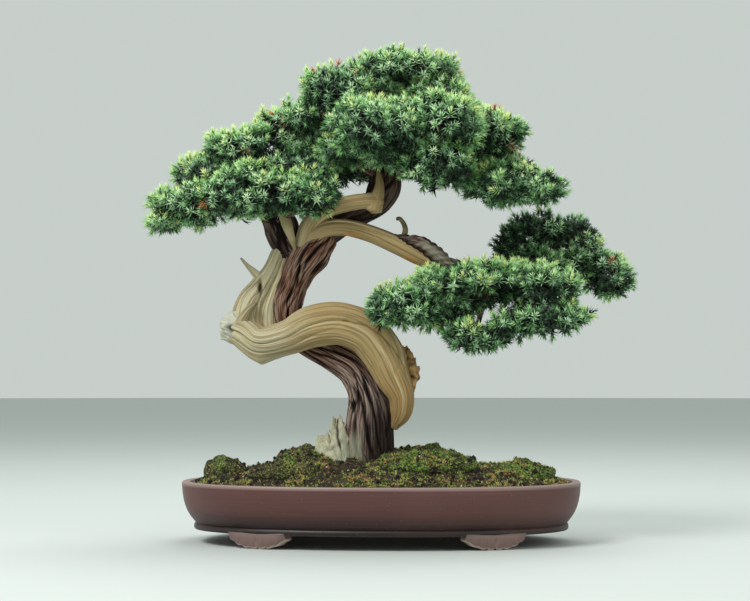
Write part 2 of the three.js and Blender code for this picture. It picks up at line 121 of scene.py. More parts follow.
class WoodSettings(bpy.types.PropertyGroup):
    bark_depth: length_setting("Bark depth", "Depth of the furrows in the bark", 0.0040)
    grain_depth: length_setting("Grain depth", "Depth of the grooves in the bare wood", 0.0026)
    old_bark: colour_setting("Old bark", "Ridges of the bark low on the trunk", 94, 75, 70)
    red_bark: colour_setting("Red bark", "Ridges of the bark high on the trunk", 120, 80, 62)
    # Painted shade: near-black colour for the furrows of the bark.
    furrow_shade: colour_setting("Furrow", "Furrows of the bark", 8, 5, 4)
    bare_wood: colour_setting("Bare wood", "Colour of the bare wood", 172, 150, 106)
    # Painted shade: darker colour for the grooves of the bare wood.
    groove_shade: colour_setting("Groove", "Grooves of the bare wood", 104, 84, 50)
    bare_stain: colour_setting("Stain", "Warm stain in the bare wood", 190, 140, 78)


class FoliageSettings(bpy.types.PropertyGroup):
    needle_length: length_setting("Needle length", "Length of a needle", 0.0100)
    needle_width: length_setting("Needle width", "Width of a needle at its base", 0.0019)
    shoot_length: length_setting("Shoot length", "Length of the stem that carries needles", 0.0070)
    shoot_spacing: length_setting("Shoot spacing", "Room that one shoot takes up", 0.0066)
    overhang: length_setting("Overhang", "How far needle tips pass the outline of a pad", 0.004)
    pad_gap: length_setting("Pad gap", "Widest gap between pads that shoots lean into", 0.036)
    tuft_spacing: length_setting("Tuft spacing", "Distance between rounded tufts", 0.027)
    tuft_relief: length_setting("Tuft relief", "Depth of the gaps between tufts", 0.0085)
    deep: colour_setting("Deep green", "Needles in the shade", 40, 80, 44)
    mid: colour_setting("Green", "Most needles", 112, 176, 102)
    light: colour_setting("Light green", "Lit needles", 166, 222, 136)
    fresh: colour_setting("Fresh green", "Young tips", 218, 238, 138)
    spent: colour_setting("Spent", "Old brown needles", 196, 122, 62)
    bloom: colour_setting("Bloom", "Pale band on the inner face", 208, 238, 206)


class StageSettings(bpy.types.PropertyGroup):
    camera_distance: length_setting("Distance", "From the middle of the pot to the camera", 2.1)
    camera_height: length_setting("Camera height", "Height of the camera above the ground", 0.182)
    camera_turn: FloatProperty(
        name="Turn", description="Turn of the camera to the right of the front",
        default=radians(3.0), subtype="ANGLE", unit="ROTATION",
    )
    camera_tilt: FloatProperty(
        name="Tilt", description="Upward tilt of the camera",
        default=radians(2.3), subtype="ANGLE", unit="ROTATION",
    )
    aside: length_setting("Aim aside", "How far left of the pot's middle the camera aims", 0.0067)
    lens: FloatProperty(
        name="Lens", description="Focal length in millimetres", default=90.7, min=1
    )
    floor: colour_setting("Floor", "Colour of the plain floor", 198, 204, 200)
    air: colour_setting("Air", "Colour of the light all round", 214, 222, 218)


# ------------------------------------------------------------------ what the wood follows

# Stations along each piece of wood: x, y, z, half breadth, half depth, in millimetres
# from the middle of the pot's footprint. The breadth is measured across, seen from the front.

LIVE_VEIN = [
    [-12, 2, 66, 33, 28], [-12, 2, 80, 29, 26], [-13, 2, 98, 28, 25], [-13, 0, 128, 27, 24],
    [-13, -2, 152, 24, 22], [-18, -3, 171, 21, 20], [-31, -2, 190, 19, 19], [-55, 3, 205, 17, 19],
    [-82, 12, 219, 16, 20], [-104, 18, 236, 17, 20], [-108, 16, 262, 20, 20],
    [-101, 12, 284, 19, 19], [-92, 9, 304, 21, 20], [-80, 7, 322, 25, 22], [-66, 6, 339, 20, 19],
]
DEADWOOD_BAND = [
    [15, -6, 126, 5, 5], [22, -12, 141, 12, 9], [23, -18, 160, 15, 12], [13, -22, 183, 20, 14],
    [2, -25, 207, 23, 15], [-15, -27, 229, 24, 16], [-43, -27, 240, 24, 17],
    [-74, -24, 237, 24, 18], [-103, -17, 225, 20, 19], [-134, -8, 220, 18, 20],
    [-155, 0, 232, 18, 18], [-170, 3, 240, 18, 16],
]
DEADWOOD_FLANK = [
    [-130, 3, 214, 14, 16], [-149, 8, 242, 19, 18], [-147, 10, 264, 17, 16],
    [-136, 10, 282, 13, 14], [-124, 9, 300, 10, 12], [-115, 7, 320, 9, 11], [-106, 5, 338, 8, 10],
]
BROKEN_CHIP = [
    [26, -14, 212, 3, 4], [33, -13, 197, 8, 5], [38, -13, 183, 6, 5], [33, -15, 166, 4, 4],
]
DEADWOOD_WEB = [
    [-122, 8, 212, 12, 14], [-127, 12, 236, 13, 14], [-127, 13, 256, 12, 13],
    [-121, 12, 276, 10, 11], [-112, 9, 298, 8, 10], [-104, 7, 322, 7, 8],
]
KNOB_STUB = [
    [-160, -4, 234, 8, 9], [-153, -9, 247, 6, 7], [-146, -10, 256, 4.5, 5],
    [-139, -9, 263, 2.2, 2.6],
]
LEFT_BRANCH = [
    [
        [-92, 6, 312, 13, 13], [-108, 5, 334, 18, 15], [-113, 3, 351, 20, 15],
        [-128, 0, 368, 13, 12], [-150, -4, 380, 9, 9], [-178, -8, 378, 7, 7],
        [-206, -12, 371, 4, 4],
    ],
    [[-124, 0, 364, 9, 9], [-134, -26, 375, 6, 6], [-141, -50, 380, 4, 4]],
    [[-116, 0, 356, 9, 8], [-92, -32, 368, 6, 6], [-72, -54, 376, 4, 4]],
    [[-126, 0, 366, 9, 8], [-142, 0, 396, 6, 6], [-150, 0, 424, 4, 4]],
    [[-126, 2, 366, 9, 8], [-146, 28, 380, 6, 6], [-164, 52, 393, 4, 4]],
]
UPPER_LIMB = [
    [-88, -4, 328, 10, 9], [-79, -8, 351, 10, 9], [-60, -13, 366, 9.5, 9], [-36, -17, 373, 9, 9],
    [-14, -19, 376, 9, 8], [0, -18, 375, 9, 7],
]
APEX_TRUNK = [
    [
        [-64, 10, 340, 15, 13], [-38, 14, 357, 14, 13], [-12, 14, 371, 15, 13],
        [2, 11, 390, 19, 14], [6, 8, 410, 17, 13], [10, 4, 436, 12, 11], [16, 0, 466, 8, 8],
        [19, 0, 500, 5, 5],
    ],
    [[16, 0, 462, 6, 6], [42, 4, 484, 4.5, 4.5], [62, 5, 500, 3.5, 3.5]],
]
RIGHT_LIMB = [
    [-88, -1, 328, 11, 10], [-66, -8, 344, 10, 9], [-40, -11, 347, 10, 9], [-12, -13, 340, 10, 9],
    [20, -14, 326, 10.5, 9], [41, -14, 314, 9, 9], [58, -12, 305, 7, 8], [76, -10, 299, 6, 6],
    [96, -14, 291, 6, 6],
]
LIMB_BARK = [
    [14, -12, 335, 4, 5], [28, -15, 332, 6.5, 8], [45, -15, 327, 10.5, 10],
    [61, -14, 316, 10, 10], [76, -12, 304, 7, 8], [94, -13, 294, 5, 5],
]
RIGHT_REAR_BRANCH = [
    [
        [70, -6, 310, 5, 5], [99, 8, 306, 4.5, 4.5], [132, 30, 309, 4.5, 4.5],
        [166, 52, 316, 4.5, 4.5], [204, 62, 318, 4, 4], [240, 62, 304, 3.5, 3.5],
    ],
    [[166, 52, 316, 4, 4], [182, 64, 330, 3.5, 3.5], [190, 70, 342, 3, 3]],
    [[132, 30, 309, 4, 4], [147, 48, 318, 3.5, 3.5], [156, 58, 325, 3, 3]],
    [[226, 62, 310, 3.5, 3.5], [248, 56, 296, 3, 3], [258, 50, 288, 2.5, 2.5]],
]
RIGHT_FRONT_BRANCH = [
    [[90, -12, 295, 6, 6], [122, -30, 282, 5, 5], [160, -42, 274, 4, 4], [182, -44, 272, 3, 3]],
    [[94, -16, 292, 5, 5], [64, -42, 272, 4.5, 4.5], [30, -64, 256, 3.5, 3.5]],
    [[118, -28, 283, 4.5, 4.5], [112, -56, 256, 3.5, 3.5], [105, -72, 228, 3, 3]],
    [[158, -42, 274, 4, 4], [170, -54, 252, 3.5, 3.5], [177, -61, 240, 3, 3]],
]
CROWN_LEFT_BRANCH = [
    [
        [-2, 9, 408, 8, 8], [-40, 12, 428, 6.5, 6.5], [-80, 12, 448, 5, 5],
        [-104, 12, 459, 3.5, 3.5],
    ],
    [[-38, 12, 427, 5.5, 5.5], [-50, 4, 462, 4.5, 4.5], [-48, 0, 490, 3.5, 3.5]],
]
CROWN_RIGHT_BRANCH = [
    [
        [12, 8, 410, 8, 8], [52, 6, 408, 6.5, 6.5], [96, 0, 406, 5.5, 5.5],
        [140, -10, 401, 4.5, 4.5], [172, -14, 396, 3.5, 3.5],
    ],
    [[70, 4, 407, 5, 5], [104, 8, 434, 4.5, 4.5], [122, 10, 454, 3.5, 3.5]],
    [[38, 5, 409, 5, 5], [56, -30, 408, 4.5, 4.5], [66, -58, 407, 3.5, 3.5]],
]
CROWN_FRONT_BRANCH = [
    [[9, -4, 430, 7, 7], [3, -40, 440, 6, 6], [-3, -84, 446, 4, 4]],
    [[5, -30, 438, 5, 5], [40, -54, 446, 4.5, 4.5], [68, -72, 450, 3.5, 3.5]],
]
CROWN_REAR_BRANCH = [
    [[12, 12, 432, 7, 7], [20, 50, 442, 6, 6], [42, 98, 452, 4, 4]],
    [[17, 30, 437, 5, 5], [-20, 64, 446, 4.5, 4.5], [-50, 88, 452, 3.5, 3.5]],
    [[18, 36, 439, 5, 5], [74, 62, 424, 4.5, 4.5], [118, 80, 416, 3.5, 3.5]],
]
SPUR_JIN = [
    [-130, 7, 284, 7, 6], [-142, 5, 298, 4.5, 4], [-150, 3, 306, 2.6, 2.4],
    [-157, 1, 314, 1.3, 1.2],
]
HOOK_JIN = [
    [22, -12, 322, 6, 5], [26, -12, 336, 3.8, 3.4], [27.5, -12, 345, 3.2, 3.0],
    [25, -12, 352, 2.8, 2.6], [21, -12, 356.5, 2.5, 2.3], [18, -12, 356, 2.0, 1.9],
]
CROTCH_WEDGE = [
    [-7, -19, 366, 10, 7], [-4, -19, 378, 8.5, 6.5], [-1, -17, 390, 6, 5], [-2, -12, 410, 2.5, 3],
]
WEDGE_JIN = [
    [-95, -13, 323, 2, 3], [-99, -16, 337, 4.5, 4], [-104, -17, 352, 6.5, 5],
    [-110, -14, 368, 5, 4],
]
BASE_FLAKE = [
    [-46, -15, 70, 11, 6], [-50, -16, 84, 13, 6], [-56, -15, 96, 14, 6], [-60, -13, 106, 13, 5],
    [-62, -12, 112, 10, 4],
]
MOSSY_SHARD = [
    [-42, -14, 76, 7, 6], [-43, -13, 96, 9, 6], [-45, -12, 112, 10, 6], [-47, -10, 124, 9, 5],
    [-48, -9, 131, 7, 4],
]

# Each branch is a list of forks, the first of them its main stem.
BARK_STEMS = {
    "left_branch": LEFT_BRANCH,
    "apex_trunk": APEX_TRUNK,
    "right_rear_branch": RIGHT_REAR_BRANCH,
    "right_front_branch": RIGHT_FRONT_BRANCH,
    "crown_left_branch": CROWN_LEFT_BRANCH,
    "crown_right_branch": CROWN_RIGHT_BRANCH,
    "crown_front_branch": CROWN_FRONT_BRANCH,
    "crown_rear_branch": CROWN_REAR_BRANCH,
}
FOLIAGE_PADS = (
    "left_pad_tip", "left_pad_front", "left_pad_inner", "left_pad_top", "left_pad_rear",
    "apex_pad", "crown_upper_left", "crown_upper_right", "crown_left_shoulder", "crown_front",
    "crown_front_right", "crown_right_shoulder", "crown_low_middle", "crown_low_right",
    "crown_rear_left", "crown_rear", "crown_rear_right", "right_rear_top", "right_rear_inner",
    "right_rear_outer", "right_rear_tip", "right_front_tip", "right_front_middle",
    "right_front_outer", "right_front_low", "right_front_low_outer",
)
# Painted light and shade: how much lighter or darker than the rest a pad's needles are, darker for
# pads inside or behind the crown and lighter for outer pads and tips.
PAD_LIGHT_AND_SHADE = {
    "right_rear_inner": -0.34, "right_rear_top": -0.26, "right_rear_outer": 0.06,
    "right_rear_tip": 0.2, "right_front_tip": 0.05,
    "crown_rear": -0.1, "crown_rear_left": -0.2, "crown_rear_right": -0.1, "left_pad_rear": -0.08,
}
# Gaps that open through the foliage from front to back: x, z, half width, half height.
FOLIAGE_WINDOWS = ((112, 244, 10, 9), (-29, 386, 13, 10))
# Rounded clumps that join neighbouring pads: the pad they belong to, middle, half sizes.
FOLIAGE_CLUMPS = (
    ("left_pad_top", (-196, -10, 408), (30, 34, 20)),
    ("left_pad_top", (-86, -16, 414), (34, 34, 22)),
    ("crown_left_shoulder", (-66, -6, 438), (34, 30, 22)),
    ("crown_front", (-32, -30, 428), (34, 26, 18)),
    ("crown_low_middle", (22, -52, 428), (30, 24, 18)),
    ("crown_rear_left", (-36, 22, 412), (36, 24, 16)),
    ("right_front_middle", (86, -42, 266), (32, 26, 15)),
    ("right_front_low", (68, -50, 252), (26, 22, 12)),
    ("right_front_outer", (150, -30, 284), (32, 28, 16)),
    ("right_rear_inner", (168, 30, 300), (30, 26, 20)),
    ("crown_upper_left", (-14, -14, 492), (30, 34, 22)),
    ("crown_upper_right", (64, -24, 482), (32, 34, 24)),
    ("crown_rear", (8, 60, 490), (54, 40, 30)),
    ("crown_right_shoulder", (98, -12, 462), (28, 28, 18)),
    ("left_pad_tip", (-240, -18, 352), (20, 24, 13)),
)
# Middle and half sizes of each moss cushion.
MOSS = {
    "moss_left": [[-172, -4, 70], [24, 32, 21]],
    "moss_middle_left": [[-76, 12, 85], [46, 42, 15]],
    "moss_front_left": [[-92, -70, 76], [48, 30, 10]],
    "moss_front_right": [[48, -48, 84], [60, 44, 13]],
    "moss_rear_right": [[44, 44, 86], [42, 36, 15]],
    "moss_right": [[150, -6, 73], [42, 50, 14]],
}


# ------------------------------------------------------------------ material nodes


class Flow:
    """A value, colour or vector in a material; arithmetic on it adds Math nodes."""

    def __init__(self, finish, socket):
        self.finish = finish
        self.socket = socket

    def __add__(self, other):
        return self.finish.math("ADD", self, other)

    __radd__ = __add__

    def __sub__(self, other):
        return self.finish.math("SUBTRACT", self, other)

    def __rsub__(self, other):
        return self.finish.math("SUBTRACT", other, self)

    def __mul__(self, other):
        return self.finish.math("MULTIPLY", self, other)

    __rmul__ = __mul__


class Finish:
    """A procedural material; node() adds any node, the other methods add the usual ones."""

    def __init__(self, name, **constants):
        self.material = bpy.data.materials.new(name)
        self.material.use_nodes = True
        tree = self.material.node_tree
        self.nodes, self.links = tree.nodes, tree.links
        self.shader = self.nodes["Principled BSDF"]
        for socket, value in constants.items():
            self.shader.inputs[socket.replace("_", " ")].default_value = value

    def feed(self, socket, value):
        if isinstance(value, Flow):
            self.links.new(value.socket, socket)
        else:
            socket.default_value = value

    def node(self, kind, settings=None, values=None, output=0):
        made = self.nodes.new(kind)
        for key, value in (settings or {}).items():
            if key == "stops":
                self.set_stops(made.color_ramp, value)
            else:
                setattr(made, key, value)
        for socket, value in (values or {}).items():
            self.feed(made.inputs[socket], value)
        return Flow(self, made.outputs[output])

    @staticmethod
    def set_stops(ramp, stops):
        while len(ramp.elements) < len(stops):
            ramp.elements.new(0.5)
        for element, (place, colour) in zip(ramp.elements, stops):
            element.position = place
            element.color = colour

    def math(self, operation, *values):
        return self.node("ShaderNodeMath", {"operation": operation}, dict(enumerate(values)))

    def place(self):
        """Object coordinates."""
        return self.node("ShaderNodeTexCoord", output=3)

    def chart(self):
        """The piece's own place in its colour chart."""
        return self.node("ShaderNodeUVMap", {"uv_map": "OFBake"})

    def part(self, vector, axis):
        return self.node("ShaderNodeSeparateXYZ", values={0: vector}, output=axis)

    def own(self, attribute, output=2):
        """What mark() kept on the piece: output 1 reads a vector, 2 a number."""
        return self.node("ShaderNodeAttribute", {"attribute_name": attribute}, output=output)

    def scaled(self, vector, scale):
        return self.node("ShaderNodeMapping", values={"Vector": vector, "Scale": scale})

    def noise(self, vector, scale, detail=3.0, roughness=0.5, distortion=0.0):
        values = {
            "Vector": vector, "Scale": scale, "Detail": detail, "Roughness": roughness,
            "Distortion": distortion,
        }
        return self.node("ShaderNodeTexNoise", values=values)

    def cells(self, vector, scale, randomness=1.0):
        values = {"Vector": vector, "Scale": scale, "Randomness": randomness}
        return self.node("ShaderNodeTexVoronoi", {"feature": "F1"}, values)

    def step(self, value, low, high, start=0.0, end=1.0):
        values = {
            "Value": value, "From Min": low, "From Max": high, "To Min": start, "To Max": end,
        }
        return self.node("ShaderNodeMapRange", {"interpolation_type": "SMOOTHSTEP"}, values)

    def ramp(self, value, *stops):
        return self.node("ShaderNodeValToRGB", {"stops": stops}, {0: value})

    def mix(self, share, first, second, blend="MIX"):
        settings = {"data_type": "RGBA", "blend_type": blend, "clamp_factor": True}
        return self.node("ShaderNodeMix", settings, {0: share, 6: first, 7: second}, output=2)

    def bump(self, height, distance, strength=1.0):
        values = {"Height": height, "Distance": distance, "Strength": strength}
        return self.node("ShaderNodeBump", values=values)

    def shows(self, **inputs):
        for socket, value in inputs.items():
            self.feed(self.shader.inputs[socket.replace("_", " ")], value)
        return self.material


def clay_finish(settings):
    """Unglazed clay: turning rings, fine grit, painted shade over the foot ring and the low wall,
    and rubbed edges.
    """
    finish = Finish("fired_clay", Specular_IOR_Level=0.45)
    place = finish.place()
    height = finish.part(place, 2)
    broad = finish.noise(place, 9.0, 4.0)
    rings = finish.noise(finish.scaled(place, (6.0, 6.0, 420.0)), 1.0, 4.0, 0.6)
    grit = finish.noise(place, 1500.0, 2.0)
    # Painted shade: the clay turns near-black over the foot ring and the low wall, fading out
    # higher up.
    low = finish.step(height + broad * 0.012, 0.022, 0.05, 1.0, 0.0)
    low = low * finish.step(height, 0.0148, 0.016)
    colour = finish.mix(low, tuple(settings.clay), tuple(settings.clay_painted_shade))
    colour = finish.mix(finish.step(rings, 0.35, 0.75) * 0.12, colour, tint(132, 88, 80))
    colour = finish.mix(finish.step(broad, 0.45, 0.8) * 0.2, colour, tint(122, 84, 76))
    specks = finish.step(finish.cells(place, 160.0), 0.05, 0.12, 1.0, 0.0)
    colour = finish.mix(specks * 0.2, colour, tint(176, 150, 136))
    lip = finish.step(height + broad * 0.001, POT_HIGH.z - 0.0045, POT_HIGH.z - 0.002) * 0.2
    colour = finish.mix(lip, colour, tuple(settings.clay_worn))
    colour = finish.mix(finish.own("wear"), colour, tuple(settings.clay_worn))
    polish = finish.step(broad + rings * 0.3, 0.4, 0.9, 0.36, 0.54)
    relief = finish.bump(rings + grit * 0.5, 0.0003, 0.7)
    return finish.shows(Base_Color=colour, Roughness=polish, Normal=relief)


def wire_finish():
    finish = Finish("soft_aluminium_wire", Metallic=0.9)
    place = finish.place()
    marks = finish.noise(place, 600.0, 3.0)
    colour = finish.mix(finish.step(marks, 0.4, 0.7), tint(150, 144, 136), tint(196, 190, 182))
    return finish.shows(
        Base_Color=colour, Roughness=finish.step(marks, 0.3, 0.7, 0.35, 0.6),
        Normal=finish.bump(marks, 0.00008),
    )


def screen_finish():
    finish = Finish("black_plastic_mesh")
    place = finish.place()
    dust = finish.noise(place, 260.0, 4.0)
    colour = finish.mix(finish.step(dust, 0.5, 0.75) * 0.5, tint(30, 34, 38), tint(98, 88, 76))
    return finish.shows(
        Base_Color=colour, Roughness=finish.step(dust, 0.3, 0.7, 0.5, 0.8),
        Normal=finish.bump(dust, 0.0001),
    )


def grit_finish():
    finish = Finish("drainage_grit")
    place = finish.place()
    grains = finish.cells(place, 210.0)
    broken = finish.noise(place, 900.0, 3.0)
    colour = finish.ramp(
        finish.noise(place, 190.0, 1.0), (0.3, tint(120, 98, 72)), (0.5, tint(186, 170, 138)),
        (0.7, tint(206, 198, 178)),
    )
    # Painted shade: the gaps between the grains are darker.
    colour = finish.mix(finish.step(grains, 0.35, 0.6), colour, tint(74, 62, 50))
    return finish.shows(
        Base_Color=colour, Roughness=finish.step(broken, 0.3, 0.7, 0.85, 1.0),
        Normal=finish.bump(1.0 - grains + broken * 0.2, 0.0016),
    )


def soil_finish(settings):
    finish = Finish("damp_soil")
    place = finish.place()
    clods = finish.noise(place, 120.0, 5.0, 0.65)
    patches = finish.noise(place, 26.0, 3.0)
    colour = finish.ramp(
        clods, (0.3, tint(26, 20, 17)), (0.5, tuple(settings.soil)), (0.68, tint(96, 74, 50)),
        (0.8, tint(146, 112, 72)),
    )
    colour = finish.mix(finish.step(patches, 0.48, 0.62) * 0.6, colour, tuple(settings.dry_moss))
    fine = finish.noise(place, 620.0, 3.0, 0.7)
    colour = finish.mix(finish.step(fine, 0.54, 0.68) * 0.5, colour, tint(150, 112, 70))
    # Painted shade: the deepest hollows of the clods turn near-black.
    pits = finish.step(fine + clods, 0.86, 1.06, 1.0, 0.0)
    colour = finish.mix(pits * 0.9, colour, tint(7, 5, 4))
    return finish.shows(
        Base_Color=colour, Roughness=finish.step(clods, 0.3, 0.7, 0.8, 1.0),
        Normal=finish.bump(clods + fine * 0.4, 0.004),
    )


def crumb_finish():
    finish = Finish("soil_crumbs")
    place = finish.place()
    kind = finish.part(finish.chart(), 0)
    colour = finish.ramp(
        kind, (0.0, tint(16, 12, 10)), (0.35, tint(44, 31, 22)), (0.6, tint(76, 64, 34)),
        (0.8, tint(136, 98, 56)), (0.92, tint(186, 116, 60)), (0.97, tint(206, 188, 150)),
    )
    mid_grey = (0.5, 0.5, 0.5, 1.0)
    colour = finish.mix(finish.noise(place, 700.0, 3.0), colour, mid_grey, blend="OVERLAY")
    return finish.shows(Base_Color=colour, Roughness=0.93)


def cushion_finish(settings):
    finish = Finish("moss_cushion")
    place = finish.place()
    lumps = finish.noise(place, 150.0, 5.0, 0.7)
    patches = finish.noise(place, 38.0, 3.0)
    side = finish.part(place, 0)
    living = finish.step(patches + side * 0.9, 0.4, 0.62)
    colour = finish.mix(living, tuple(settings.dry_moss), tuple(settings.moss))
    fine = finish.noise(place, 560.0, 3.0, 0.7)
    colour = finish.mix(finish.step(fine, 0.5, 0.66) * 0.6, colour, tint(166, 178, 84))
    # Painted shade: the hollows between the lumps turn near-black.
    colour = finish.mix(finish.step(fine + lumps, 0.84, 1.08), tint(14, 12, 8), colour)
    return finish.shows(
        Base_Color=colour, Roughness=0.95, Normal=finish.bump(lumps, 0.004)
    )


def tuft_finish(settings):
    finish = Finish("moss_tufts")
    chart = finish.chart()
    kind, height = finish.part(chart, 0), finish.part(chart, 1)
    colour = finish.ramp(
        kind, (0.0, tint(26, 22, 14)), (0.3, tint(58, 50, 28)), (0.5, tint(90, 104, 38)),
        (0.7, tuple(settings.moss)), (0.82, tint(158, 184, 84)), (0.94, tint(214, 218, 124)),
        (1.0, tint(160, 96, 50)),
    )
    # Painted shade: each blade darkens towards its base, deep in the tuft.
    colour = finish.mix(finish.step(height, 0.0, 0.8, 0.8, 0.0), colour, tint(14, 14, 8))
    return finish.shows(Base_Color=colour, Roughness=0.8)


def bark_finish(name, settings, red_from, red_to):
    """Fibrous bark: furrows painted dark as shade, worn grey-purple ridges that turn redder higher
    up.
    """
    finish = Finish(name, Specular_IOR_Level=0.12)
    place = finish.place()
    height = finish.part(place, 2)
    grain = finish.own("grain", 1)
    fibre = finish.noise(finish.scaled(grain, (620.0, 620.0, 34.0)), 1.0, 4.0, 0.6, 0.3)
    flakes = finish.noise(finish.scaled(grain, (190.0, 190.0, 26.0)), 1.0, 3.0, 0.6, 0.5)
    broad = finish.noise(place, 34.0, 3.0)
    ridge = finish.own("relief")
    redness = finish.step(height + broad * 0.03, red_from, red_to)
    worn = finish.mix(redness, tuple(settings.old_bark), tuple(settings.red_bark))
    # Painted shade: where the marked relief is low, in the furrows, the bark takes this near-black
    # colour.
    deep = finish.mix(redness, tuple(settings.furrow_shade), tint(22, 10, 7))
    colour = finish.mix(finish.step(ridge + flakes * 0.8 + broad * 0.4, 0.96, 1.42), deep, worn)
    frayed = finish.step(fibre + ridge * 0.25, 0.64, 0.82)
    colour = finish.mix(frayed * 0.7, colour, tint(170, 152, 136))
    colour = finish.mix(finish.step(fibre, 0.36, 0.47, 1.0, 0.0) * 0.8, colour, tint(22, 14, 12))
    colour = finish.mix(finish.own("shade"), colour, tint(26, 18, 16))
    colour = finish.mix(finish.own("lichen"), colour, tint(158, 160, 136))
    relief = finish.bump(fibre + flakes, 0.0012, 0.9)
    return finish.shows(
        Base_Color=colour, Roughness=finish.step(fibre, 0.3, 0.7, 0.7, 0.95), Normal=relief
    )


def bare_wood_finish(settings):
    """Weathered bare wood: cream, finely grooved along its length with painted shade in the
    grooves, stained here and there.
    """
    finish = Finish("bare_wood", Specular_IOR_Level=0.3)
    place = finish.place()
    height = finish.part(place, 2)
    grain = finish.own("grain", 1)
    fibre = finish.noise(finish.scaled(grain, (900.0, 900.0, 22.0)), 1.0, 3.0, 0.6, 0.2)
    streak = finish.noise(finish.scaled(grain, (210.0, 210.0, 7.0)), 1.0, 3.0, 0.6, 0.4)
    broad = finish.noise(place, 30.0, 3.0)
    ridge = finish.own("relief")
    aside = finish.part(place, 0)
    bleached = finish.step(aside + broad * 0.03, -0.12, -0.06, 1.0, 0.0)
    colour = finish.mix(bleached, tuple(settings.bare_wood), tint(188, 180, 148))
    colour = finish.mix(finish.step(streak, 0.46, 0.66) * 0.6, colour, tint(156, 130, 82))
    pale = finish.step(streak, 0.3, 0.44, 1.0, 0.0)
    colour = finish.mix(pale * 0.6, colour, tint(226, 212, 170))
    colour = finish.mix(finish.own("stain"), colour, tuple(settings.bare_stain))
    lines = finish.noise(finish.scaled(grain, (420.0, 420.0, 10.0)), 1.0, 2.0, 0.5, 0.3)
    colour = finish.mix(finish.step(lines, 0.53, 0.6) * 0.55, colour, tint(122, 98, 58))
    # Painted shade: the wood darkens in its grooves and folds, most where the marked relief is
    # lowest.
    colour = finish.mix(finish.step(ridge, 0.6, 0.25) * 0.7, colour, tuple(settings.groove_shade))
    colour = finish.mix(finish.step(ridge, 0.22, -0.06) * 0.85, colour, tint(50, 36, 24))
    colour = finish.mix(finish.step(fibre, 0.3, 0.44, 1.0, 0.0) * 0.55, colour, tint(120, 98, 62))
    low = finish.step(height + broad * 0.02, 0.105, 0.145, 1.0, 0.0)
    colour = finish.mix(low * 0.6, colour, tint(188, 196, 164))
    colour = finish.mix(finish.own("lichen"), colour, tint(104, 116, 62))
    colour = finish.mix(finish.own("bone"), colour, tint(192, 194, 178))
    colour = finish.mix(finish.own("shade"), colour, tint(44, 34, 26))
    relief = finish.bump(fibre * 0.7 + streak + lines, 0.0012, 0.9)
    return finish.shows(
        Base_Color=colour, Roughness=finish.step(streak, 0.3, 0.7, 0.6, 0.85), Normal=relief
    )


def root_finish():
    finish = Finish("buried_root")
    place = finish.place()
    flakes = finish.noise(place, 240.0, 4.0, 0.65)
    colour = finish.mix(finish.step(flakes, 0.38, 0.62), tint(48, 34, 26), tint(116, 88, 62))
    return finish.shows(Base_Color=colour, Roughness=0.92, Normal=finish.bump(flakes, 0.001))


def twig_finish():
    finish = Finish("twig_bark")
    place = finish.place()
    scales = finish.noise(place, 420.0, 3.0, 0.7)
    colour = finish.mix(finish.step(scales, 0.4, 0.62), tint(46, 28, 22), tint(112, 76, 56))
    return finish.shows(
        Base_Color=colour, Roughness=0.9, Normal=finish.bump(scales, 0.0004)
    )


def needle_finish(settings):
    """Needles: the chart's first axis picks the green, with painted light and shade in it as well
    as the needles' own tones; its second runs from base to tip.
    """
    finish = Finish("juniper_needles", Specular_IOR_Level=0.4)
    chart = finish.chart()
    across, along = finish.part(chart, 0), finish.part(chart, 1)
    pale_side = finish.step(across, 0.499, 0.501)
    kind = finish.math("FRACT", across * 2.0)
    colour = finish.ramp(
        kind, (0.0, tint(3, 7, 4)), (0.2, tuple(settings.deep)), (0.45, tuple(settings.mid)),
        (0.68, tuple(settings.light)), (0.92, tuple(settings.fresh)),
        (0.975, tuple(settings.spent)),
    )
    banded = finish.mix(finish.step(kind, 0.15, 0.6, 0.05, 0.55), colour, tuple(settings.bloom))
    colour = finish.mix(pale_side, colour, banded)
    # Painted shade: each needle darkens towards its base, inside the shoot.
    colour = finish.mix(finish.step(along, 0.0, 0.45, 0.75, 0.0), colour, tint(10, 22, 8))
    tips = finish.step(along, 0.7, 1.0, 0.0, 0.35) * finish.step(kind, 0.25, 0.5)
    colour = finish.mix(tips, colour, tuple(settings.fresh))
    return finish.shows(Base_Color=colour, Roughness=finish.step(along, 0.0, 1.0, 0.6, 0.42))


# ------------------------------------------------------------------ modelling helpers

SEAM_GAP = 2e-6
WOOD_MARKS = ("shade", "lichen", "stain", "bone")


def deselect():
    """Leaves edit mode with nothing selected."""
    if bpy.context.object and bpy.context.object.mode != "OBJECT":
        bpy.ops.object.mode_set(mode="OBJECT")
    bpy.ops.object.select_all(action="DESELECT")


def points_of(piece):
    points = np.empty(len(piece.data.vertices) * 3)
    piece.data.vertices.foreach_get("co", points)
    return points.reshape(-1, 3)


def set_points(piece, points):
    piece.data.vertices.foreach_set("co", np.ascontiguousarray(points, np.float32).ravel())
    piece.data.update()


def mark(piece, name, values):
    """Keeps one number or one vector for each point of a piece, for its material to read."""
    kind, field = ("FLOAT", "value") if values.ndim == 1 else ("FLOAT_VECTOR", "vector")
    attribute = piece.data.attributes.new(name, kind, "POINT")
    attribute.data.foreach_set(field, np.ascontiguousarray(values, np.float32).ravel())


def take_up(piece):
    """Selects one piece, and only that one."""
    deselect()
    bpy.context.view_layer.objects.active = piece
    piece.select_set(True)


def close_mesh(piece, join=True):
    """Joins seams and poles, then turns every face outwards."""
    take_up(piece)
    bpy.ops.object.mode_set(mode="EDIT")
    bpy.ops.mesh.select_all(action="SELECT")
    if join:
        bpy.ops.mesh.remove_doubles(threshold=SEAM_GAP)
    bpy.ops.mesh.normals_make_consistent(inside=False)
    bpy.ops.object.mode_set(mode="OBJECT")


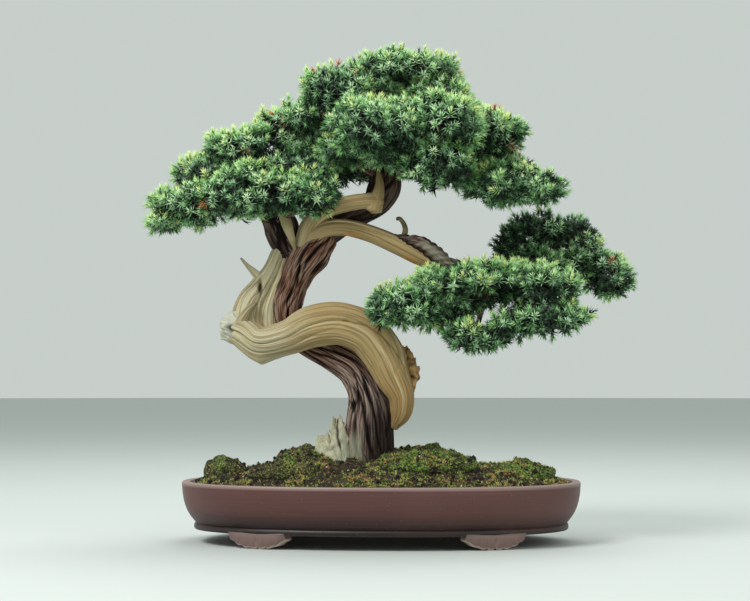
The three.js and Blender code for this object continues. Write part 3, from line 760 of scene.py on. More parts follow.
def smooth(piece, angle=None):
    take_up(piece)
    if angle is None:
        bpy.ops.object.shade_smooth()
    else:
        bpy.ops.object.shade_smooth_by_angle(angle=angle)


def wrapped_grid(name, around, along, shape):
    """A grid primitive rolled up: shape(u, v) gives each point and what to mark on it.
    u runs once round the piece and v from one pole to the other."""
    deselect()
    bpy.ops.mesh.primitive_grid_add(x_subdivisions=around, y_subdivisions=along, size=1.0)
    piece = bpy.context.active_object
    piece.name = piece.data.name = name
    flat = points_of(piece)
    points, marks = shape(flat[:, 0] + 0.5, flat[:, 1] + 0.5)
    set_points(piece, points)
    for key, values in marks.items():
        mark(piece, key, values)
    piece.data.uv_layers[0].name = "OFBake"
    close_mesh(piece)
    smooth(piece)
    return piece


def paint(piece, material):
    piece.data.materials.clear()
    piece.data.materials.append(material)


def dress(piece, material, slot, *nodes):
    """Gives a finished piece its material, hangs it under the root body and hides the CAD nodes it
    stands for.
    """
    paint(piece, material)
    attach(piece, "root")
    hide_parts(*nodes)


def joined(name, pieces):
    """Makes several pieces one."""
    deselect()
    for piece in pieces:
        piece.select_set(True)
    bpy.context.view_layer.objects.active = pieces[0]
    if len(pieces) > 1:
        bpy.ops.object.join()
    pieces[0].name = pieces[0].data.name = name
    return pieces[0]


def faces_of(piece):
    return np.array([list(face.vertices) for face in piece.data.polygons])


def unit(vectors):
    return vectors / np.maximum(np.linalg.norm(vectors, axis=-1, keepdims=True), 1e-12)


def soften(share):
    return share * share * (3 - 2 * share)


def ease(value, low, high):
    """From 0 at low to 1 at high, with soft ends."""
    return soften(np.clip((value - low) / (high - low), 0, 1))


def table_noise(table, column, row, across, along):
    """Smooth noise: the four values round a spot, blended by its shares across and along.
    The table repeats past its ends."""
    across, along = soften(across), soften(along)
    columns, rows = table.shape
    left, right = column % columns, (column + 1) % columns
    low, high = row % rows, (row + 1) % rows
    near = table[left, low] * (1 - across) + table[right, low] * across
    far = table[left, high] * (1 - across) + table[right, high] * across
    return near * (1 - along) + far * along


def follow(stations, along):
    """Every column of the stations at each share of the way along, on one smooth curve."""
    stations = np.asarray(stations, float)
    last = len(stations) - 1
    before, after = 2 * stations[0] - stations[1], 2 * stations[-1] - stations[-2]
    padded = np.vstack([before, stations, after])
    share = np.clip(along, 0, 1) * last
    first = np.minimum(share.astype(int), last - 1)
    part = (share - first)[:, None]
    a, b, c, d = (padded[first + step] for step in range(4))

    def gap(p, q):
        return np.maximum(np.linalg.norm((q - p)[:, :3], axis=1, keepdims=True), 1e-6) ** 0.5

    ab, bc, cd = gap(a, b), gap(b, c), gap(c, d)
    leave = ((b - a) / ab - (c - a) / (ab + bc) + (c - b) / bc) * bc
    arrive = ((c - b) / bc - (d - b) / (bc + cd) + (d - c) / cd) * bc
    square = 3 * (c - b) - 2 * leave - arrive
    cube = 2 * (b - c) + leave + arrive
    return b + leave * part + square * part**2 + cube * part**3


def route_length(stations):
    places = follow(stations, np.linspace(0, 1, 60))[:, :3]
    return float(np.linalg.norm(np.diff(places, axis=0), axis=1).sum())


def strand_noise(u, v, across, along, rng):
    """Smooth noise on the unrolled surface of a strand; it meets itself round the strand."""
    table = rng.random((across, along + 2))
    x, y = u * across, v * along
    column, row = np.floor(x).astype(int), np.clip(np.floor(y).astype(int), 0, along)
    return table_noise(table, column, row, x - column, y - row)


def furrows(u, v, across, along, rng, width):
    """1 on the ridges and 0 in the furrows between them."""
    return np.clip(np.abs(2 * strand_noise(u, v, across, along, rng) - 1) / width, 0, 1)


def bark_relief(u, v, length, girth, rng):
    """Relief of bark, 0 to 1: wavering furrows, finer ones between them, and fibres."""
    across = max(6, round(girth / 7))
    sway = 2.2 / across * (strand_noise(u, v, 4, max(2, round(length / 38)), rng) - 0.5)
    u = (u + sway) % 1
    coarse = furrows(u, v, across, max(2, round(length / 70)), rng, 0.3)
    fine = furrows(u, v, 2 * across + 1, max(3, round(length / 48)), rng, 0.34)
    fibre = strand_noise(u, v, 4 * across, max(4, round(length / 22)), rng)
    return 0.46 * coarse + 0.34 * fine + 0.2 * fibre


def grain_relief(u, v, length, girth, rng):
    """Relief of bare wood, 0 to 1: long swells with fine grooves that come and go."""
    across = max(4, round(girth / 16))
    sway = 1.6 / across * (strand_noise(u, v, 3, max(2, round(length / 45)), rng) - 0.5)
    u = (u + sway) % 1
    swell = strand_noise(u, v, across, max(2, round(length / 70)), rng)
    line = furrows(u, v, 2 * across, max(2, round(length / 60)), rng, 0.09)
    worn = strand_noise(u, v, 3, max(2, round(length / 34)), rng)
    fine = furrows(u, v, 5 * across + 1, max(3, round(length / 40)), rng, 0.26)
    return 0.36 * swell + 0.64 - 0.64 * (1 - 0.55 * line - 0.45 * fine) * ease(worn, 0.3, 0.8)


def plain_relief(u, v, length, girth, rng):
    return np.ones_like(u)


def strand(name, stations, around, along, relief_of, depth, seed, cap=0.025, carve=None):
    """A length of wood or wire with lengthwise relief, and a rounded cap at each end.
    carve(u, v, places) returns extra depth in millimetres and marks by name; the relief
    goes inwards, so the strand keeps its size."""
    length = route_length(stations)
    widths = np.asarray(stations, float)[:, 3:]
    girth = 2 * pi * float(widths.mean())

    def shape(u, v):
        rng = np.random.default_rng(seed)
        share = np.clip((v - cap) / (1 - 2 * cap), 0, 1)
        values = follow(stations, share)
        ahead, behind = follow(stations, share + 0.004), follow(stations, share - 0.004)
        tangent = unit(ahead[:, :3] - behind[:, :3])
        depthwise = unit(DEEP - tangent * tangent[:, 1:2])
        breadthwise = np.cross(tangent, depthwise)
        closing = np.minimum(1, np.minimum(v, 1 - v) / cap)
        openness = np.sqrt(np.clip(1 - (1 - closing) ** 2, 0, 1))
        relief = relief_of(u, v, length, girth, rng)
        extra, marks = carve(u, v, values[:, :3]) if carve else (0.0, {})
        inward = depth / MM * (1 - relief) + extra
        half = np.maximum(values[:, 3:] - inward[:, None], 0.25 * values[:, 3:])
        half = half * openness[:, None]
        reach = 0.5 * values[:, 3] * (1 - closing) * np.where(v < 0.5, -1, 1)
        turn = 2 * pi * u
        points = values[:, :3] + tangent * reach[:, None]
        points = points + breadthwise * (np.sin(turn) * half[:, 0])[:, None]
        points = points + depthwise * (np.cos(turn) * half[:, 1])[:, None]
        radius = girth / (2 * pi) * MM
        unrolled = np.stack([np.cos(turn) * radius, np.sin(turn) * radius, v * length * MM], 1)
        unrolled[:, 2] += 0.37 * seed  # so that no two strands show the same grain
        nothing = np.zeros_like(u)
        kept = {"relief": relief - 0.16 * np.maximum(extra, -1), "grain": unrolled}
        for key in WOOD_MARKS:
            kept[key] = marks.get(key, nothing)
        return at_pot(points), kept

    return wrapped_grid(name, around, along, shape)


def oval(radius, turn, settings):
    """The plan of the pot: a circle becomes a rounded oval whose wall keeps its thickness."""
    power = POT_SQUARENESS
    square = (np.abs(np.cos(turn)) ** power + np.abs(np.sin(turn)) ** power) ** (-1 / power)
    stretch = (settings.length - settings.depth) / 2 / MM
    reach = np.maximum(radius, POT_FLAT_FLOOR)
    x = radius * square * np.cos(turn) * (reach + stretch) / reach
    return x, radius * square * np.sin(turn)


def within(x, y, half):
    """0 in the middle of the pot and 1 on an oval of the given half sizes."""
    return (np.abs(x) / half[0]) ** POT_SQUARENESS + (np.abs(y) / half[1]) ** POT_SQUARENESS


def soil_height(x, y, settings):
    """Height of the bare soil in millimetres, over millimetres from the pot's middle."""
    edge = np.minimum(1, within(x, y, SOIL_HALF))
    collar = 8 * np.exp(-(((x - TRUNK_FOOT[0]) ** 2 + (y - TRUNK_FOOT[1]) ** 2) / 2500))
    lumps = 1.6 * (np.sin(x / 17) + np.sin(y / 13 + 1) + np.sin((x + y) / 23))
    return settings.edge / MM + (settings.rise / MM + lumps) * (1 - edge) ** 0.8 + collar


def cushion_height(x, y, at, size):
    """Top of one moss cushion, far below the ground outside its edge."""
    inside = 1 - ((x - at[0]) / size[0]) ** 2 - ((y - at[1]) / size[1]) ** 2
    return np.where(inside > 0, at[2] + size[2] * np.sqrt(np.clip(inside, 0, 1)), 0)


def copies(name, template, faces, chart, where):
    """One mesh of many copies of a small closed shape. template holds each copy's points
    and chart each copy's place in the colour chart, corner by corner."""
    count, corners = template.shape[0], template.shape[1]
    offsets = (np.arange(count) * corners)[:, None, None]
    triangles = (faces[None, :, :] + offsets).reshape(-1, 3)
    mesh = bpy.data.meshes.new(name)
    mesh.vertices.add(count * corners)
    mesh.vertices.foreach_set("co", where(template.reshape(-1, 3)).astype(np.float32).ravel())
    mesh.loops.add(triangles.size)
    mesh.loops.foreach_set("vertex_index", triangles.ravel().astype(np.int32))
    mesh.polygons.add(len(triangles))
    mesh.polygons.foreach_set("loop_start", np.arange(0, triangles.size, 3, dtype=np.int32))
    layer = mesh.uv_layers.new(name="OFBake")
    layer.data.foreach_set("uv", chart.astype(np.float32).ravel())
    mesh.update(calc_edges=True)
    mesh.validate()
    piece = bpy.data.objects.new(name, mesh)
    bpy.context.scene.collection.objects.link(piece)
    return piece


def needle_faces():
    """The faces of one needle, a three-sided cone with base corners 0 to 2 and tip 3."""
    deselect()
    bpy.ops.mesh.primitive_cone_add(vertices=3, radius1=0.5, radius2=0, depth=1.0)
    cone = bpy.context.active_object
    points = points_of(cone)
    faces = faces_of(cone)
    bpy.data.objects.remove(cone)
    tip = int(points[:, 2].argmax())
    base = [corner for corner in range(4) if corner != tip]
    order = {corner: place for place, corner in enumerate(base + [tip])}
    return np.vectorize(order.get)(faces)


def needle_points(roots, axes, inner, lengths, widths):
    """The four points of each needle: a flat three-sided base and the tip."""
    side = unit(np.cross(axes, inner))
    face = np.cross(side, axes)
    thick = 0.24 * widths
    left = roots + side * (-0.5 * widths)[:, None] + face * thick[:, None]
    right = roots + side * (0.5 * widths)[:, None] + face * thick[:, None]
    keel = roots - face * (1.3 * thick)[:, None]
    tip = roots + axes * lengths[:, None]
    return np.stack([left, right, keel, tip], 1)


def needle_chart(faces, kinds):
    """Where each corner of each needle sits in the colour chart; the face between the first
    two base corners and the tip takes the chart's paler half."""
    count = len(kinds)
    chart = np.empty((count, len(faces), 3, 2))
    across = np.array([-0.002, 0.002, 0.001, 0.0])
    along = np.array([0.0, 0.0, 0.02, 1.0])
    for row, face in enumerate(faces):
        pale = 3 in face and 2 not in face
        for corner, point in enumerate(face):
            chart[:, row, corner, 0] = kinds * 0.49 + 0.004 + (0.5 if pale else 0) + across[point]
            chart[:, row, corner, 1] = along[point]
    return chart


# ------------------------------------------------------------------ pot

# Outer and inner wall of the pot: how far inside the rim, and height above the ground.
POT_WALL = [
    (17.0, 15.0), (14.6, 15.2), (13.7, 16.2), (13.5, 18.4), (13.8, 20.4), (14.7, 21.3),
    (15.3, 21.9), (14.6, 22.9), (12.0, 26.0), (8.8, 30.2), (6.0, 35.0), (3.8, 40.4),
    (2.2, 46.2), (1.1, 52.0), (0.5, 57.0), (0.3, 61.2), (0.35, 61.8), (0.05, 62.4), (0.0, 64.0),
    (0.15, 65.7), (0.8, 66.7), (1.8, 67.0), (7.4, 67.0), (8.6, 66.7), (9.2, 65.6), (10.5, 58.0),
    (11.6, 49.0), (13.0, 40.0), (15.8, 33.0), (20.0, 28.0), (24.0, 24.6), (28.0, 24.0),
]
RUBBED_HEIGHT = 66.4  # the rim is rubbed pale round this height
FOOT_PLACE = (124.0, 103.0)
FOOT_TURN = radians(22)
FOOT_ARCH = 14.5  # how far the foot's ends rise above its middle
FOOT_LOBE = 9.4  # width of one scallop
FOOT_BEVEL = 4.0  # how far the face leans in towards its lower edge
DRAIN_X = 85.0
DRAIN_RADIUS = 13.0


class BONSAI_OT_pot(bpy.types.Operator):
    """Raises the oval pot from a disc, ring by ring, and drills its two drain holes"""

    bl_idname = "bonsai.pot"
    bl_label = "Pot"
    bl_options = {"REGISTER", "UNDO"}

    def execute(self, context):
        settings = context.scene.bonsai_pot
        rim = settings.depth / 2 / MM
        deselect()
        inset, base = POT_WALL[0]
        bpy.ops.mesh.primitive_circle_add(
            vertices=224, radius=(rim - inset) * MM, fill_type="NGON", location=(0, 0, base * MM)
        )
        pot = bpy.context.active_object
        pot.name = pot.data.name = "pot_shell"
        bpy.ops.object.transform_apply(location=True, rotation=False, scale=False)
        bpy.ops.object.mode_set(mode="EDIT")
        bpy.ops.mesh.select_all(action="SELECT")
        for (inset, height), (next_inset, next_height) in zip(POT_WALL, POT_WALL[1:]):
            bpy.ops.mesh.extrude_region_move(
                TRANSFORM_OT_translate={"value": (0, 0, (next_height - height) * MM)}
            )
            share = (rim - next_inset) / (rim - inset)
            bpy.ops.transform.resize(value=(share, share, 1), center_override=(0, 0, 0))
        bpy.ops.object.mode_set(mode="OBJECT")
        flat = points_of(pot) / MM
        x, y = oval(np.hypot(flat[:, 0], flat[:, 1]), np.arctan2(flat[:, 1], flat[:, 0]), settings)
        set_points(pot, at_pot(np.stack([x, y, flat[:, 2]], 1)))
        close_mesh(pot, join=False)
        for side in (-1, 1):
            self.drill(pot, side * DRAIN_X)
        away = (points_of(pot)[:, 2] / MM - RUBBED_HEIGHT) / 0.7
        mark(pot, "wear", np.exp(-(away**2)) * 0.35)
        smooth(pot, radians(40))
        dress(pot, clay_finish(settings), "clay", "pot")
        return {"FINISHED"}

    @staticmethod
    def drill(pot, x):
        deselect()
        bpy.ops.mesh.primitive_cylinder_add(
            vertices=48, radius=DRAIN_RADIUS * MM, depth=0.03, location=at_pot([x, 0, 20])
        )
        bit = bpy.context.active_object
        hole = pot.modifiers.new("drain hole", "BOOLEAN")
        hole.object, hole.operation, hole.solver = bit, "DIFFERENCE", "EXACT"
        take_up(pot)
        bpy.ops.object.modifier_apply(modifier=hole.name)
        bpy.data.objects.remove(bit)


class BONSAI_OT_pot_feet(bpy.types.Operator):
    """Shapes one cloud-shaped foot and sets four of them under the pot"""

    bl_idname = "bonsai.pot_feet"
    bl_label = "Pot feet"
    bl_options = {"REGISTER", "UNDO"}

    def execute(self, context):
        settings = context.scene.bonsai_pot
        half = settings.foot_width / 2 / MM
        thickness = settings.foot_thickness / MM
        top = settings.underside / MM + 2.5
        material = clay_finish(settings)
        material.name = "foot_clay"
        for depth_name, side_y in (("front", -1), ("rear", 1)):
            for side_name, side_x in (("left", -1), ("right", 1)):
                foot = self.foot(half, thickness, top)
                foot.name = foot.data.name = f"pot_foot_{depth_name}_{side_name}"
                points = points_of(foot)
                turn = -side_x * side_y * FOOT_TURN + (pi if side_y > 0 else 0)
                x, y, z = points.T
                across = x * cos(turn) - y * sin(turn) + side_x * FOOT_PLACE[0]
                along = x * sin(turn) + y * cos(turn) + side_y * FOOT_PLACE[1]
                set_points(foot, at_pot(np.stack([across, along, z], 1)))
                smooth(foot, radians(50))
                dress(foot, material, "clay", "pot")
        return {"FINISHED"}

    @staticmethod
    def lower_edge(across):
        """Height of the scalloped lower edge: lobes that climb from the middle to each end."""
        away = np.abs(across)
        level = np.sqrt(np.clip(1 - ((away - 4) / 31.5) ** 2, 0, 1)) ** 1.3
        lobe = 1.7 * (1 - np.abs(np.sin(pi * away / FOOT_LOBE)) ** 0.6)
        return np.minimum(FOOT_ARCH - FOOT_ARCH * level + lobe, FOOT_ARCH)

    def foot(self, half, thickness, top):
        """A puffed, creased face, extruded backwards; its back stays under the pot."""
        deselect()
        bpy.ops.mesh.primitive_grid_add(x_subdivisions=72, y_subdivisions=14, size=1.0)
        foot = bpy.context.active_object
        flat = points_of(foot)
        across, down = 2 * flat[:, 0], 0.5 - flat[:, 1]
        x = across * (half - 1.5)
        z = top - down * (top - self.lower_edge(x))
        crease = np.exp(-((x / 1.1) ** 2))
        flute = 0.3 * np.abs(np.cos(pi * np.abs(x) / FOOT_LOBE)) ** 6 * (np.abs(x) > 7)
        puff = 2.6 * np.sqrt(np.clip(1 - (2 * down - 1) ** 2, 0, 1)) * (1 - across**8)
        y = -thickness / 2 + 2.0 - puff + (1.8 * crease + flute) * ease(down, 0.15, 0.7)
        y = y + FOOT_BEVEL * down
        set_points(foot, np.stack([x, y, z], 1))
        worn = 0.9 * ease(down, 0.86, 0.98) + 0.5 * crease * ease(down, 0.3, 0.8) + 0.2
        mark(foot, "wear", np.clip(worn, 0, 0.9))
        back = (0, thickness - FOOT_BEVEL, 0)
        bpy.ops.object.mode_set(mode="EDIT")
        bpy.ops.mesh.select_all(action="SELECT")
        bpy.ops.mesh.extrude_region_move(TRANSFORM_OT_translate={"value": back})
        close_mesh(foot, join=False)
        return foot


def clip_route(side):
    """A staple of wire over a drain screen, with its legs down the hole and turned out."""
    half = [(24, 13.2), (14, 13.2), (8, 17), (8, 24.5), (5, 27)]
    whole = half + [(-reach, z) for reach, z in reversed(half)]
    return [[side * DRAIN_X + reach, 0, z, 0.8, 0.8] for reach, z in whole]


# The tie wire: up from under one drain hole, over the root ball and down the other.
ANCHOR_ROUTE = [
    (-36, -36, 83), (-56, -24, 81), (-78, -12, 62), (-85, -8, 40), (-85, -8, 24), (-85, -8, 16),
    (-79, -8, 12.6), (-40, -8, 12.6), (40, -8, 12.6), (79, -8, 12.6), (85, -8, 16), (85, -8, 24),
    (85, -8, 40), (66, -14, 64), (38, -26, 82), (12, -37, 84), (-12, -40, 84),
]


class BONSAI_OT_pot_fittings(bpy.types.Operator):
    """Bends the tie wire and the two screen clips, and finishes the screens and the grit"""

    bl_idname = "bonsai.pot_fittings"
    bl_label = "Screens and wires"
    bl_options = {"REGISTER", "UNDO"}

    def execute(self, context):
        wire = wire_finish()
        routes = {
            "anchor_wire": [(*point, 1.0, 1.0) for point in ANCHOR_ROUTE],
            "screen_clip_left": clip_route(-1),
            "screen_clip_right": clip_route(1),
        }
        for name, route in routes.items():
            rows = 12 * len(route)
            piece = strand(f"{name}_bent", route, 12, rows, plain_relief, 0.0, 1, cap=0.01)
            dress(piece, wire, "wire", name)
        mesh = screen_finish()
        paint(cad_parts["drain_screen_left"], mesh)
        paint(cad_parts["drain_screen_right"], mesh)
        paint(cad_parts["drainage_layer"], grit_finish())
        return {"FINISHED"}


# ------------------------------------------------------------------ soil and moss


# Underside of the soil: how far inside the rim (None is the middle), and height.
SOIL_UNDERSIDE = [(None, 34.4), (17.0, 34.4), (13.8, 41.0), (11.4, 58.0), (11.0, 63.0)]
UNDERSIDE_SHARE = 0.2  # the share of the soil's rings that its underside takes


def scattered(count, rng):
    """Points spread evenly over the soil, in millimetres from the pot's middle."""
    x = rng.uniform(-STREWN_HALF[0], STREWN_HALF[0], 2 * count)
    y = rng.uniform(-STREWN_HALF[1], STREWN_HALF[1], 2 * count)
    from_trunk = np.hypot(x - TRUNK_FOOT[0], (y - TRUNK_FOOT[1]) * 1.15)
    keep = (within(x, y, STREWN_HALF) < 1) & (from_trunk > BARE_FOOT)
    return x[keep][:count], y[keep][:count]


def plan_noise(x, y, size, seed):
    """Smooth noise over the ground with lumps of about the given size in millimetres."""
    table = np.random.default_rng(seed).random((128, 128))
    x, y = (x + 500) / size, (y + 500) / size
    column, row = np.floor(x).astype(int), np.floor(y).astype(int)
    return table_noise(table, column, row, x - column, y - row)


def ground_lumps(x, y):
    """Small unevenness of moss and soil, in millimetres."""
    knots = plan_noise(x, y, 10.0, 71) ** 2 * 8.0 + plan_noise(x, y, 5.0, 72) ** 2 * 4.5
    return knots + plan_noise(x, y, 2.2, 73) * 1.3 - 3.6


def edge_lumps(x, y):
    """The unevenness, dying out towards the pot's wall."""
    return ground_lumps(x, y) * np.sqrt(1 - np.minimum(1, within(x, y, SOIL_HALF)))


def ground_top(x, y, settings):
    """Height of soil or moss, whichever is higher, in millimetres."""
    top = soil_height(x, y, settings)
    for at, size in MOSS.values():
        top = np.maximum(top, cushion_height(x, y, at, size))
    return top + edge_lumps(x, y)


class BONSAI_OT_soil(bpy.types.Operator):
    """Turns the mound of soil inside the pot and strews crumbs over it"""

    bl_idname = "bonsai.soil"
    bl_label = "Soil"
    bl_options = {"REGISTER", "UNDO"}

    def execute(self, context):
        settings, pot = context.scene.bonsai_ground, context.scene.bonsai_pot
        rim = pot.depth / 2 / MM
        radii = [0 if inset is None else rim - inset for inset, _ in SOIL_UNDERSIDE]
        heights = [height for _, height in SOIL_UNDERSIDE]

        def shape(u, v):
            low = v < UNDERSIDE_SHARE
            share = np.clip(v / UNDERSIDE_SHARE, 0, 1) * (len(radii) - 1)
            radius = np.interp(share, range(len(radii)), radii)
            height = np.interp(share, range(len(radii)), heights)
            inward = np.clip((v - UNDERSIDE_SHARE) / (1 - UNDERSIDE_SHARE), 0, 1)
            radius = np.where(low, radius, radii[-1] * (1 - inward))
            x, y = oval(radius, 2 * pi * u, pot)
            top = soil_height(x, y, settings) + edge_lumps(x, y)
            return at_pot(np.stack([x, y, np.where(low, height, top)], 1)), {}

        soil = wrapped_grid("soil_mound", 300, 110, shape)
        dress(soil, soil_finish(settings), "soil", "soil")
        self.strew(settings)
        return {"FINISHED"}

    @staticmethod
    def strew(settings):
        """Strews rugged crumbs, a few of them larger, over soil and moss."""
        deselect()
        bpy.ops.mesh.primitive_ico_sphere_add(subdivisions=1, radius=1.0)
        pebble = bpy.context.active_object
        shape = points_of(pebble)
        faces = faces_of(pebble)
        bpy.data.objects.remove(pebble)
        rng = np.random.default_rng(31)
        x, y = scattered(settings.crumbs, rng)
        count = len(x)
        size = rng.uniform(0.6, 1.5, count) + 1.6 * (rng.random(count) > 0.93)
        rugged = rng.uniform(0.68, 1.22, (count, len(shape), 1))
        grains = shape[None] * rugged * size[:, None, None]
        grains = grains * rng.uniform(0.7, 1.2, (count, 1, 3))
        z = ground_top(x, y, settings) + 0.35 * size
        grains = grains + np.stack([x, y, z], 1)[:, None, :]
        kinds = rng.random(count) ** 1.5
        kinds = np.where(size > 2.0, 0.3 * kinds, kinds)
        across = np.array([-0.002, 0.002, 0.0])
        chart = np.empty((count, len(faces), 3, 2))
        chart[..., 0] = np.clip(kinds, 0.01, 0.99)[:, None, None] + across
        chart[..., 1] = np.array([0.2, 0.2, 0.8])
        crumbs = copies("soil_crumbs", grains, faces, chart, at_pot)
        dress(crumbs, crumb_finish(), "soil", "soil")


class BONSAI_OT_moss(bpy.types.Operator):
    """Swells the moss cushions out of the soil and plants moss tufts over the ground"""

    bl_idname = "bonsai.moss"
    bl_label = "Moss"
    bl_options = {"REGISTER", "UNDO"}

    def execute(self, context):
        settings = context.scene.bonsai_ground
        material = cushion_finish(settings)
        for name, (at, size) in MOSS.items():
            def shape(u, v, at=np.array(at, float), size=np.array(size, float)):
                turn, rise = 2 * pi * u, pi * v
                ring = np.sin(rise)
                out = np.stack([ring * np.cos(turn), ring * np.sin(turn), -np.cos(rise)], 1)
                spot = at + out * size
                lift = 1.3 * ground_lumps(spot[:, 0], spot[:, 1]) * ease(out[:, 2], -0.1, 0.5)
                spot = spot + out * lift[:, None] * np.array([0.5, 0.5, 1.0])
                return at_pot(spot), {}

            cushion = wrapped_grid(f"{name}_cushion", 104, 56, shape)
            dress(cushion, material, "moss", name)
        self.plant(settings)
        return {"FINISHED"}

    @staticmethod
    def plant(settings):
        """Plants tufts of five blades, closer and longer where the moss is lush."""
        rng = np.random.default_rng(47)
        faces = needle_faces()
        x, y = scattered(settings.tufts, rng)
        lush = plan_noise(x, y, 26.0, 81) * 0.4 + plan_noise(x, y, 7.0, 82) * 0.6
        lush = 1.6 * lush - 0.42 + 0.2 * ease(x, -60, 40) + 0.06 * ease(-y, 0, 60)
        keep = rng.random(len(x)) < 0.25 + 1.3 * lush
        x, y, lush = x[keep], y[keep], lush[keep]
        count, blades = len(x), 5
        roots = np.stack([x, y, ground_top(x, y, settings) - 0.6], 1)
        aside = rng.normal(0, 0.55, (count * blades, 3)) * [1, 1, 0.3]
        roots = np.repeat(roots, blades, 0) + aside
        axes = unit(rng.normal(0, 0.62, (count * blades, 3)) + UP)
        inner = unit(np.cross(axes, rng.normal(0, 1, (count * blades, 3))))
        lengths = np.repeat(2.0 + 2.0 * np.clip(lush, 0, 1), blades)
        lengths = lengths * rng.uniform(0.5, 1.4, count * blades)
        widths = rng.uniform(0.8, 1.4, count * blades)
        points = needle_points(roots, axes, inner, lengths, widths)
        kinds = np.repeat(lush + rng.normal(0.06, 0.17, count), blades)
        kinds = np.clip(kinds + rng.normal(0, 0.1, count * blades), 0.02, 0.98)
        chart = needle_chart(faces, kinds)
        chart[..., 0] = np.clip(kinds, 0.02, 0.98)[:, None, None] + (chart[..., 0] % 0.004 - 0.002)
        material = tuft_finish(settings)
        for side, node, mask in (
            ("left", "moss_middle_left", x < 0), ("right", "moss_front_right", x >= 0),
        ):
            chosen = np.repeat(mask, blades)
            piece = copies(f"moss_tufts_{side}", points[chosen], faces, chart[chosen], at_pot)
            dress(piece, material, "moss", node)


# ------------------------------------------------------------------ wood


# A carve function is given u (0 at the back, 0.5 at the front), v (0 to 1 along the strand)
# and where on its middle line that is, in millimetres.


def groove(u, v, path, width, depth):
    """A cut along the surface: path gives how far round it is at shares of the length."""
    shares, turns = zip(*path)
    away = (u - np.interp(v, shares, turns) + 0.5) % 1 - 0.5
    window = ease(v, shares[0], shares[0] + 0.05) * (1 - ease(v, shares[-1] - 0.05, shares[-1]))
    return depth * np.exp(-((away / width) ** 2)) * window


def carve_vein(u, v, places):
    """The live vein is darkest low on its right, and wears a pale patch low on its left."""
    z = places[:, 2]
    right = ease(u, 0.46, 0.57) * (1 - ease(u, 0.88, 0.98))
    shade = 0.85 * right * (1 - ease(z, 132, 172)) * ease(z, 64, 72)
    shade = np.clip(shade + 0.4 * (1 - ease(z, 84, 125)), 0, 0.9)
    left = ease(u, 0.34, 0.39) * (1 - ease(u, 0.44, 0.48))
    lichen = 0.6 * left * (1 - ease(z, 108, 130)) * ease(z, 74, 86)
    deep = groove(u, v, [(0.02, 0.58), (0.2, 0.5), (0.4, 0.4)], 0.016, 3.0)
    deep = deep + groove(u, v, [(0.05, 0.44), (0.22, 0.4), (0.4, 0.34)], 0.012, 2.2)
    deep = deep + groove(u, v, [(0.6, 0.56), (0.8, 0.52), (0.98, 0.56)], 0.014, 2.4)
    flare = -5.0 * (1 - ease(z, 70, 92)) * np.cos(6 * pi * u) ** 2
    return deep + flare, {"shade": shade, "lichen": lichen}


def carve_band(u, v, places):
    """A long fold runs down the front of the band from its knob and over the arch."""
    fold = groove(u, v, [(0.3, 0.66), (0.5, 0.53), (0.68, 0.5), (0.93, 0.47)], 0.008, 3.0)
    step = groove(u, v, [(0.3, 0.74), (0.5, 0.62), (0.68, 0.59), (0.93, 0.55)], 0.06, -2.6)
    second = groove(u, v, [(0.6, 0.43), (0.75, 0.4), (0.97, 0.36)], 0.007, 2.4)
    third = groove(u, v, [(0.5, 0.33), (0.7, 0.3), (0.88, 0.28)], 0.007, 2.2)
    fourth = groove(u, v, [(0.55, 0.7), (0.75, 0.67), (0.95, 0.62)], 0.006, 1.6)
    hanging = np.exp(-(((u - 0.28) / 0.08) ** 2) - np.abs(places[:, 0] + 130) / 9)
    right = 1 - ease(v, 0.16, 0.46)
    turn = 2 * pi * u
    stain = 0.3 * right + 0.35 * right * np.sin(14 * turn + 11 * v) * ease(u, 0.3, 0.5)
    bone = 0.85 * ease(v, 0.9, 0.955)
    rough = np.sin(17 * turn + 3) * np.sin(90 * v) + np.sin(5 * turn) * np.sin(140 * v + 2)
    knob = ease(v, 0.88, 0.96)
    hollow = 5.0 * np.exp(-(((u - 0.47) / 0.07) ** 2) - ((v - 0.935) / 0.022) ** 2)
    extra = fold + step + second + third + fourth - 8.0 * hanging + hollow + 0.5 * knob * rough
    return extra, {
        "stain": np.clip(stain, 0, 0.8), "bone": bone, "shade": 0.8 * ease(hollow, 1.5, 4.5),
    }


def carve_flank(u, v, places):
    """A dark knot hole sits on the front of the flank, under the spur."""
    slant = (v - 0.5) + 0.5 * (u - 0.52)
    hole = np.exp(-(((u - 0.52) / 0.075) ** 2) - (slant / 0.028) ** 2)
    lines = groove(u, v, [(0.1, 0.6), (0.4, 0.6), (0.9, 0.56)], 0.008, 1.8)
    lines = lines + groove(u, v, [(0.05, 0.44), (0.35, 0.4), (0.8, 0.44)], 0.008, 1.6)
    lines = lines + groove(u, v, [(0.02, 0.5), (0.3, 0.5), (0.5, 0.54)], 0.008, 1.6)
    return 5.0 * hole + lines, {"shade": 0.9 * ease(hole, 0.3, 0.85)}


def carve_stub(u, v, places):
    """The stub by the knob darkens towards its tip."""
    return np.zeros_like(u), {"shade": 0.35 * ease(v, 0.0, 1.0)}


def carve_hook(u, v, places):
    """The hook is grey-green and dark in rings."""
    shade = 0.35 + 0.3 * np.sin(9 * v) ** 2
    return np.zeros_like(u), {"lichen": np.full_like(u, 0.55), "shade": shade}


